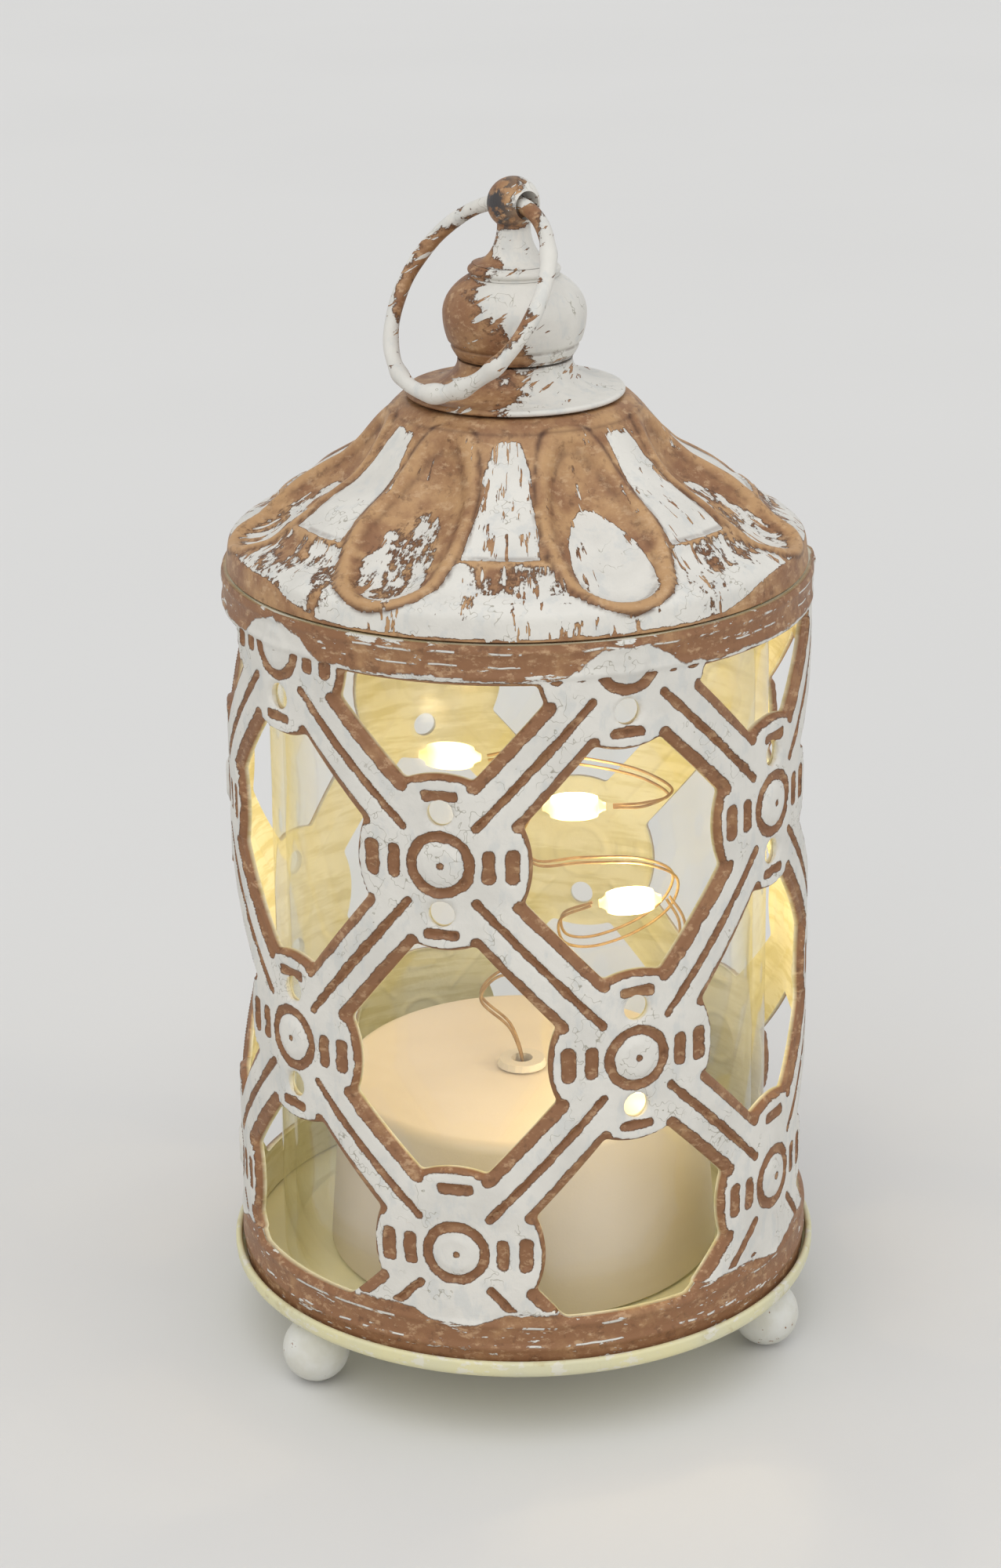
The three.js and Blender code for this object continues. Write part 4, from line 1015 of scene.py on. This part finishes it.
def make_finial():
    look = worn_paint_with_shade("finial_paint", (1, 1, 1.6), 0.35, 0.28)
    top = SKIRT_BOTTOM + SKIRT_HEIGHT
    flare = []
    for a in np.linspace(0, 90, 18):
        out = SKIRT_NECK + (SKIRT_RADIUS - 0.35 - SKIRT_NECK) * (1 - math.sin(rad(a)))
        flare.append((out, SKIRT_BOTTOM + 0.7 + (SKIRT_HEIGHT - 0.7) * (1 - math.cos(rad(a)))))
    rim = arc((SKIRT_RADIUS - 0.35, SKIRT_BOTTOM + 0.35), 0.35, -90, 80, 8)
    profile = [(STEM_BORE, SKIRT_BOTTOM), *rim, *flare, (SKIRT_NECK - 0.4, top), (STEM_BORE, top)]
    skirt = turned("skirt_flare", profile)
    # Painted shade where the ball sits on the skirt.
    give_side_wear_and_shade(skirt, 0.08, (-0.95, 0.1, 0.3), shade_heights=(top - 0.1,))
    finish_piece(skirt, look, "lid_assembly", ["finial_skirt"])

    waist = BALL_BOTTOM + 0.54 * BALL_HEIGHT
    profile = [(STEM_BORE, BALL_BOTTOM)]
    for z in np.linspace(BALL_BOTTOM, BALL_BOTTOM + BALL_HEIGHT, 40):
        half = 0.91 * BALL_HEIGHT if z < waist else 0.6 * BALL_HEIGHT
        share = min(abs(z - waist) / half, 0.77)
        groove = 0.3 * hill(z, BALL_BOTTOM + 1.6, 0.22)
        profile.append((BALL_RADIUS * math.sqrt(1 - share * share) - groove, z))
    profile.append((STEM_BORE, BALL_BOTTOM + BALL_HEIGHT))
    ball = turned("knob_ball", profile)
    # Painted shade in the ball's groove and at its foot.
    lines = (BALL_BOTTOM + 1.6, BALL_BOTTOM + 0.2)
    give_side_wear_and_shade(ball, -0.02, (-0.8, 0.1, -0.7), shade_heights=lines)
    finish_piece(ball, look, "lid_assembly", ["finial_ball"])

    middle = DISC_BOTTOM + DISC_HEIGHT / 2
    rim = arc((DISC_RADIUS - 0.45, middle), 0.45, -80, 80, 10)
    low, high = DISC_BOTTOM - 0.25, DISC_BOTTOM + DISC_HEIGHT + 0.25
    profile = [(STEM_BORE, low), (DISC_RADIUS - 0.25, low), *rim]
    profile += [(DISC_RADIUS - 0.5, high), (STEM_BORE, high)]
    disc = turned("thin_collar", profile, 96)
    give_side_wear_and_shade(disc, -0.3, (-0.6, 0, 0))
    finish_piece(disc, look, "lid_assembly", ["finial_collar"])


def eye_bead(sides=64):
    """A ball with a round hole through it, turned about the hole's own level axis."""
    reach = math.sqrt(EYE_RADIUS ** 2 - EYE_HOLE ** 2)
    start = math.degrees(math.atan2(EYE_HOLE, reach))
    profile = [(EYE_RADIUS * math.sin(rad(a)), EYE_RADIUS * math.cos(rad(a)))
               for a in np.linspace(180 - start, start, 36)]
    profile += [(EYE_HOLE, h) for h in np.linspace(reach - 0.1, -reach + 0.1, 6)]
    a = rad(RING_AZIMUTH + 90)
    level = Vector((math.sin(a), -math.cos(a), 0))
    points = rings(profile, sides) @ turn_from_upright(level).T + (0, 0, EYE_HEIGHT)
    return points, loop_faces(len(profile), sides, True)


def make_eye():
    neck = [(0.02, NECK_BOTTOM - 18), (1.5, NECK_BOTTOM - 18), (1.5, NECK_BOTTOM)]
    for a in np.linspace(0, 90, 20):
        r = NECK_RADIUS + (NECK_FOOT_RADIUS - NECK_RADIUS) * (1 - math.sin(rad(a)))
        neck.append((r, NECK_BOTTOM + NECK_HEIGHT * (1 - math.cos(rad(a)))))
    neck += [(NECK_RADIUS * 0.9, EYE_HEIGHT - 2.3), (0.02, EYE_HEIGHT - 2.3)]
    shank = turned("shank", neck, 64)
    neck_points = points_of(shank)
    bead_points, bead_faces = eye_bead()
    faces = [tuple(p.vertices) for p in shank.polygons]
    faces += [tuple(i + len(neck_points) for i in face) for face in bead_faces]
    bpy.data.meshes.remove(shank)
    mesh = new_mesh("eye_shank", np.concatenate([neck_points, bead_points]), faces)
    points = points_of(mesh)
    on_bead = smooth(EYE_HEIGHT - 3.2, EYE_HEIGHT - 2.6, points[:, 2])
    side = (points[:, 0] / 4)
    wear = -0.3 - 0.5 * side + on_bead * 0.5 + 0.4 * ripple(points, 5, 8)
    give(mesh, "wear", wear)
    # Painted shade where the neck meets the bead.
    give(mesh, "crease_shade", painted_shade_lines(points[:, 2], (EYE_HEIGHT - 2.7,)))
    # Painted shade on the bead, in near-black spots, darker towards its left side.
    give(mesh, "bead_shade", on_bead * smooth(2.5, -2.0, points[:, 0]))
    look = worn_paint_with_shade("eye_paint", (1, 1, 1), 0.5, 0.5, bead_shade=True)
    finish_piece(mesh, look, "lid_assembly", ["eye_stem"], 50)


def make_ring():
    """The round wire, lumpy where paint has gathered on it."""
    around, across = 240, 28
    a = np.linspace(0, 2 * math.pi, around, endpoint=False)
    b = np.linspace(0, 2 * math.pi, across, endpoint=False)
    lumps = np.zeros(around)
    for at, width, size in RING_LUMPS:
        lumps += size * hill(a, at, width)
    wire = RING_WIRE - 0.12 + 0.05 * np.sin(9 * a) * np.sin(4 * a + 1) + lumps
    r = RING_RADIUS + wire[:, None] * np.cos(b)[None, :]
    y = wire[:, None] * np.sin(b)[None, :]
    x = r * np.sin(a)[:, None]
    z = -RING_RADIUS + r * np.cos(a)[:, None]
    points = np.stack([x, y + 0 * x, z], -1).reshape(-1, 3)
    lean = np.array(Matrix.Rotation(rad(-RING_LEAN), 3, "X"))
    turn = np.array(Matrix.Rotation(rad(RING_AZIMUTH), 3, "Z"))
    points = points @ lean.T @ turn.T + (0, 0, EYE_HEIGHT)
    faces = [tuple(reversed(face)) for face in loop_faces(around, across, True)]
    mesh = new_mesh("wire_ring", points, faces)
    inner = -np.cos(b)[None, :] + 0 * a[:, None]
    bare = np.full(around, -0.42)
    for at, width, size in RING_BARE:
        bare += size * hill(a, at, width)
    wear = (bare[:, None] + 0.3 * inner).ravel() + 0.22 * ripple(points, 8, 5)
    give(mesh, "wear", wear)
    give(mesh, "crease_shade", np.zeros(len(points)))
    look = worn_paint_with_shade("ring_paint", (1, 1, 1), 0.3, 0.5)
    finish_piece(mesh, look, "ring", ["carry_ring"], 60)


# The pan, the feet and the liner


def make_pan():
    rim = PAN_RADIUS - 0.8
    profile = [
        (PAN_HOLE, PAN_BOTTOM + 0.2),
        (PAN_HOLE + 0.2, PAN_BOTTOM),
        *arc((PAN_RADIUS - 1.2, PAN_BOTTOM + 1.2), 1.2, -90, 0, 10),
        *arc((PAN_RADIUS - 0.4, PAN_RIM - 0.4), 0.4, 0, 180, 10),
        (rim, PAN_FLOOR + 0.4),
        (rim - 0.4, PAN_FLOOR),
        (PAN_HOLE + 0.2, PAN_FLOOR),
        (PAN_HOLE, PAN_FLOOR - 0.2),
    ]
    mesh = turned("pan_shell", profile, 180)
    finish_piece(mesh, cream_paint(), "base", ["base_pan"])


def make_feet():
    look = foot_paint()
    stem = 1.4
    lowest = math.degrees(math.acos(1.0 / FOOT_RADIUS))
    highest = math.degrees(math.acos(stem / FOOT_RADIUS))
    profile = [(0.02, 0), (1.0, 0), *arc((0, FOOT_RADIUS), FOOT_RADIUS, -lowest, highest, 40)]
    profile += [(stem, PAN_BOTTOM - SEAT), (1.0, PAN_BOTTOM - SEAT), (1.0, PAN_FLOOR + SEAT)]
    profile += [(1.6, PAN_FLOOR + SEAT), (1.6, PAN_FLOOR + 0.8)]
    profile += [(1.3, PAN_FLOOR + 1.0), (0.02, PAN_FLOOR + 1.0)]
    for i in range(FEET):
        mesh = turned(f"ball_foot_{i + 1}", profile, 64)
        place = polar(FOOT_PLACE, FIRST_FOOT + i * 360 / FEET, 0) * 1000
        points = points_of(mesh)
        move_points(mesh, points + (place.x, place.y, 0))
        finish_piece(mesh, look, "base", [f"foot_{i + 1}"])


def make_liner():
    inner = LINER_RADIUS - LINER_WALL
    profile = [
        (inner, CAGE_BOTTOM + 0.3),
        (inner + 0.3, CAGE_BOTTOM),
        (LINER_RADIUS - 0.3, CAGE_BOTTOM),
        (LINER_RADIUS, CAGE_BOTTOM + 0.3),
        *arc((LINER_RADIUS - 0.8, LINER_TOP - 0.8), 0.8, 0, 180, 14),
    ]
    mesh = turned("liner_tube", profile, 180)
    finish_piece(mesh, clear_plastic(), "base", ["clear_liner"])


# The light unit and its string


def make_unit():
    foot, top = UNIT_FOOT_RADIUS, UNIT_TOP_RADIUS
    profile = [
        (foot - UNIT_WALL, UNIT_BOTTOM),
        (foot - 0.3, UNIT_BOTTOM),
        (foot, UNIT_BOTTOM + 0.3),
        (foot - 0.2, UNIT_BOTTOM + 3),
        *arc((top - 1.5, UNIT_TOP - 1.5), 1.5, 4, 90, 12),
        (GROMMET_HOLE + 0.2, UNIT_TOP),
        (GROMMET_HOLE, UNIT_TOP - 0.2),
        (GROMMET_HOLE, UNIT_TOP - UNIT_WALL),
        (top - UNIT_WALL - 0.8, UNIT_TOP - UNIT_WALL),
        (top - UNIT_WALL, UNIT_TOP - UNIT_WALL - 0.8),
    ]
    mesh = turned("unit_shell", profile, 160)
    look = moulded_plastic("unit_plastic", (0.77, 0.68, 0.57), (0.73, 0.64, 0.53), 0.38)
    finish_piece(mesh, look, "base", ["unit_housing"], 35)


def in_room(share):
    x, y, rise = share
    return Vector((x * ROOM_RADIUS, y * ROOM_RADIUS, UNIT_TOP + rise * ROOM_HEIGHT))


def make_lamps():
    look = lit_resin()
    half = LED_LENGTH / 2
    profile = [(0.02, -half), (0.5, -half), (0.62, -half + 0.4), (0.95, -half + 0.9)]
    for along in np.linspace(-0.75, 0.75, 25):
        profile.append((LED_RADIUS * (1 - abs(along) ** 2.6) ** 0.5, along * half))
    profile += [(0.95, half - 0.9), (0.62, half - 0.4), (0.5, half), (0.02, half)]
    for number, (share, along) in enumerate(LAMPS, start=1):
        mesh = turned(f"lamp_drop_{number}", profile, 48)
        points = points_of(mesh)
        middle = smooth(1.0, 0.1, np.abs(points[:, 2]) / half)
        give(mesh, "middle", LAMP_LIGHT[number - 1] * middle)
        turn = turn_from_upright(Vector(along).normalized())
        move_points(mesh, points @ turn.T + np.array(in_room(share)))
        finish_piece(mesh, look, "base", [f"led_{number}"])


def lamp_end(index, side):
    share, along = LAMPS[index]
    return in_room(share) + Vector(along).normalized() * side * (LED_LENGTH / 2 + LEAD_SPACING)


def lead_routes():
    """The leads' middle points and how far each pair spreads, the same as in the solids."""
    board_top = 25.1
    first = [
        Vector((0, 0, board_top)), Vector((0, 0, UNIT_TOP)), Vector((0, 0, UNIT_TOP + 1.1)),
        *(in_room(p) for p in (
            (-0.05, 0, 0.083), (-0.177, 0, 0.147), (-0.08, 0, 0.195),
            (0.133, -0.067, 0.175), (0.333, -0.3, 0.107))),
        lamp_end(0, -1),
    ]
    second = [
        lamp_end(0, 1),
        *(in_room(p) for p in (
            (0.743, -0.267, 0.083), (0.733, -0.133, 0.151),
            (0.7, -0.05, 0.242), (0.693, 0, 0.303))),
        lamp_end(1, 1),
    ]
    third = [
        lamp_end(1, -1),
        *(in_room(p) for p in (
            (0.18, 0.05, 0.303), (0.193, 0.133, 0.242), (0.3, 0.183, 0.224), (0.507, 0.2, 0.254),
            (0.647, 0.183, 0.31), (0.673, 0.167, 0.363), (0.54, 0.1, 0.405), (0.267, 0.033, 0.421),
            (0.06, 0, 0.424), (0.007, 0, 0.477))),
        lamp_end(2, -1),
    ]
    last = lamp_end(3, 1)
    fourth = [
        lamp_end(2, 1),
        *(in_room(p) for p in (
            (0.533, 0, 0.539), (0.647, 0.05, 0.554), (0.54, 0.1, 0.581), (0.267, 0.2, 0.596))),
        last + Vector((3, 0, 0.4)),
        last,
    ]
    return ((first, 0.9), (second, 0.5), (third, 0.7), (fourth, 0.7))


def side_points(route, side, spread):
    """A lead's own points, beside its pair's middle and square to the way it runs."""
    across = Vector((0, 1, 0))
    last = len(route) - 1
    points = []
    for i, point in enumerate(route):
        run = (route[min(i + 1, last)] - route[max(i - 1, 0)]).normalized()
        across = (across - run * across.dot(run)).normalized()
        bulge = 1 + spread * math.sin(math.pi * i / last)
        points.append(point + across * side * bulge * LEAD_SPACING / 2)
    return points


def between(t, start, end, a, b):
    return (end - t) / (end - start) * a + (t - start) / (end - start) * b


def smooth_path(points, steps):
    """Centripetal curve through the points."""
    p = [np.array(v) for v in points]
    p = [2 * p[0] - p[1], *p, 2 * p[-1] - p[-2]]
    path = []
    for i in range(1, len(p) - 2):
        knots = [0.0]
        for a, b in zip(p[i - 1:i + 2], p[i:i + 3]):
            knots.append(knots[-1] + max(np.linalg.norm(b - a), 1e-6) ** 0.5)
        t0, t1, t2, t3 = knots
        for t in np.linspace(t1, t2, steps, endpoint=i == len(p) - 3):
            a1 = between(t, t0, t1, p[i - 1], p[i])
            a2 = between(t, t1, t2, p[i], p[i + 1])
            a3 = between(t, t2, t3, p[i + 1], p[i + 2])
            b1 = between(t, t0, t2, a1, a2)
            b2 = between(t, t1, t3, a2, a3)
            path.append(between(t, t1, t2, b1, b2))
    return np.array(path)


def tube(name, path, radius, sides=10):
    """A round tube along a path, closed at both ends."""
    run = np.gradient(path, axis=0)
    run /= np.linalg.norm(run, axis=1)[:, None]
    across = np.cross(run[0], (0.3, 0.2, 1.0))
    rings = []
    angles = np.linspace(0, 2 * math.pi, sides, endpoint=False)
    for point, along in zip(path, run):
        across = across - along * (across @ along)
        across /= np.linalg.norm(across)
        other = np.cross(along, across)
        ring = np.outer(np.cos(angles), across) + np.outer(np.sin(angles), other)
        rings.append(point + radius * ring)
    faces = loop_faces(len(path), sides, False)
    faces.append(tuple(reversed(range(sides))))
    faces.append(tuple(range((len(path) - 1) * sides, len(path) * sides)))
    return new_mesh(name, np.concatenate(rings), faces)


def make_leads():
    look = lead_metal()
    for number, (route, spread) in enumerate(lead_routes(), start=1):
        for letter, side in (("a", -1), ("b", 1)):
            path = smooth_path(side_points(route, side, spread), 8)
            mesh = tube(f"lead_{number}_{letter}", path, LEAD_RADIUS)
            node = f"wire_{number}_{letter}"
            finish_piece(mesh, look, "base", [node])


def dress_nodes():
    """Finishes for the solids that stay as they are."""
    white = moulded_plastic("cover_plastic", (0.72, 0.69, 0.63), (0.68, 0.65, 0.58), 0.45)
    dark = moulded_plastic("dark_plastic", (0.02, 0.021, 0.023), (0.035, 0.035, 0.037), 0.5)
    rubber = moulded_plastic("soft_rubber", (0.73, 0.67, 0.58), (0.69, 0.63, 0.54), 0.7, 0.08)
    steel = bright_metal("bright_steel", (0.56, 0.57, 0.58), (0.45, 0.46, 0.47))
    brass = bright_metal("contact_brass", (0.72, 0.52, 0.22), (0.62, 0.44, 0.18))
    plain = Paint("collar_brown")
    plain.surface(Base_Color=brown_tone(plain, plain.noise(0.3, 4)), Roughness=0.5)
    finishes = (
        (white, "unit_base_plate battery_cover"),
        (dark, "switch_knob switch_body timer_chip"),
        (rubber, "wire_grommet"),
        (steel, "unit_screw_1 unit_screw_2 coin_cell_1 coin_cell_2 timing_crystal"),
        (steel, "stem_washer stem_nut"),
        (brass, "contact_top contact_side"),
        (board_look(), "circuit_board"),
        (plain.material, "lid_collar"),
    )
    for look, nodes in finishes:
        for node in nodes.split():
            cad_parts[node].material_slots[0].material = look


# The stage


def make_stage():
    mesh = bpy.data.meshes.new("floor")
    square = ((-1, -1), (1, -1), (1, 1), (-1, 1))
    corners = [(x * FLOOR_REACH, y * FLOOR_REACH, 0) for x, y in square]
    mesh.from_pydata(corners, [], [(0, 1, 2, 3)])
    mesh.materials.append(floor_look())
    floor = put_in_scene("floor", mesh)

    world = bpy.data.worlds.new("studio")
    bpy.context.scene.world = world
    world.use_nodes = True
    background = world.node_tree.nodes["Background"]
    background.inputs["Color"].default_value = (0.97, 0.98, 1.0, 1)
    background.inputs["Strength"].default_value = 0.69


def glow_lamp(name, place, power, radius):
    """A warm light that isn't itself mirrored in the liner."""
    data = bpy.data.lights.new(name, "POINT")
    data.energy = power
    data.color = (1.0, 0.82, 0.52)
    data.shadow_soft_size = radius
    lamp = put_in_scene(name, data)
    lamp.location = place
    lamp.visible_glossy = False


def sun_lamp(name, direction, strength, spread, colour):
    data = bpy.data.lights.new(name, "SUN")
    data.energy = strength
    data.angle = rad(spread)
    data.color = colour
    lamp = put_in_scene(name, data)
    lamp.rotation_euler = Vector(direction).to_track_quat("-Z", "Y").to_euler()


def make_lights():
    sun_lamp("key", (0.2, 0.45, -0.9), 0.9, 55, (1, 0.99, 0.97))
    sun_lamp("front", (0.12, 0.95, -0.25), 0.42, 50, (1, 0.96, 0.90))
    sun_lamp("fill", (-0.8, 0.3, -0.5), 0.42, 60, (0.97, 0.98, 1))
    for number, ((share, _), power) in enumerate(zip(LAMPS, LAMP_POWER), start=1):
        place = (in_room(share) + Vector((0, 0, 3.2))) / 1000
        glow_lamp(f"glow_{number}", place, power, 0.002)
    glow_lamp("glow_low", polar(22, -92, 54), 0.0065, 0.010)
    glow_lamp("glow_high", polar(6, 60, 78), 0.007, 0.010)
    glow_lamp("glow_front", polar(29, 22, 46), 0.003, 0.004)


def make_camera():
    """The photograph's own view: 16 degrees down, with the frame moved down the lens."""
    pitch, yaw, roll = rad(CAMERA_PITCH), rad(CAMERA_YAW), rad(CAMERA_ROLL)
    ahead = Vector((
        math.sin(yaw) * math.cos(pitch), math.cos(yaw) * math.cos(pitch), -math.sin(pitch)))
    level = Vector((math.cos(yaw), -math.sin(yaw), 0))
    upright = level.cross(ahead)
    right = math.cos(roll) * level + math.sin(roll) * upright
    up = -math.sin(roll) * level + math.cos(roll) * upright
    data = bpy.data.cameras.new("view")
    data.sensor_width = SENSOR
    data.lens = FOCAL_PIXELS * SENSOR / PHOTO_PIXELS
    data.shift_y = FRAME_SHIFT
    data.clip_start = 0.01
    data.clip_end = 20
    camera = put_in_scene("view", data)
    turn = Matrix((right, up, -ahead)).transposed()
    camera.matrix_world = Matrix.Translation(CAMERA_PLACE) @ turn.to_4x4()
    bpy.context.scene.camera = camera


for make in (
    make_cage, make_lid, make_finial, make_eye, make_ring, make_pan, make_feet, make_liner,
    make_unit, make_lamps, make_leads, dress_nodes, make_stage, make_lights, make_camera,
):
    make()
bpy.context.scene.view_settings.view_transform = "Standard"
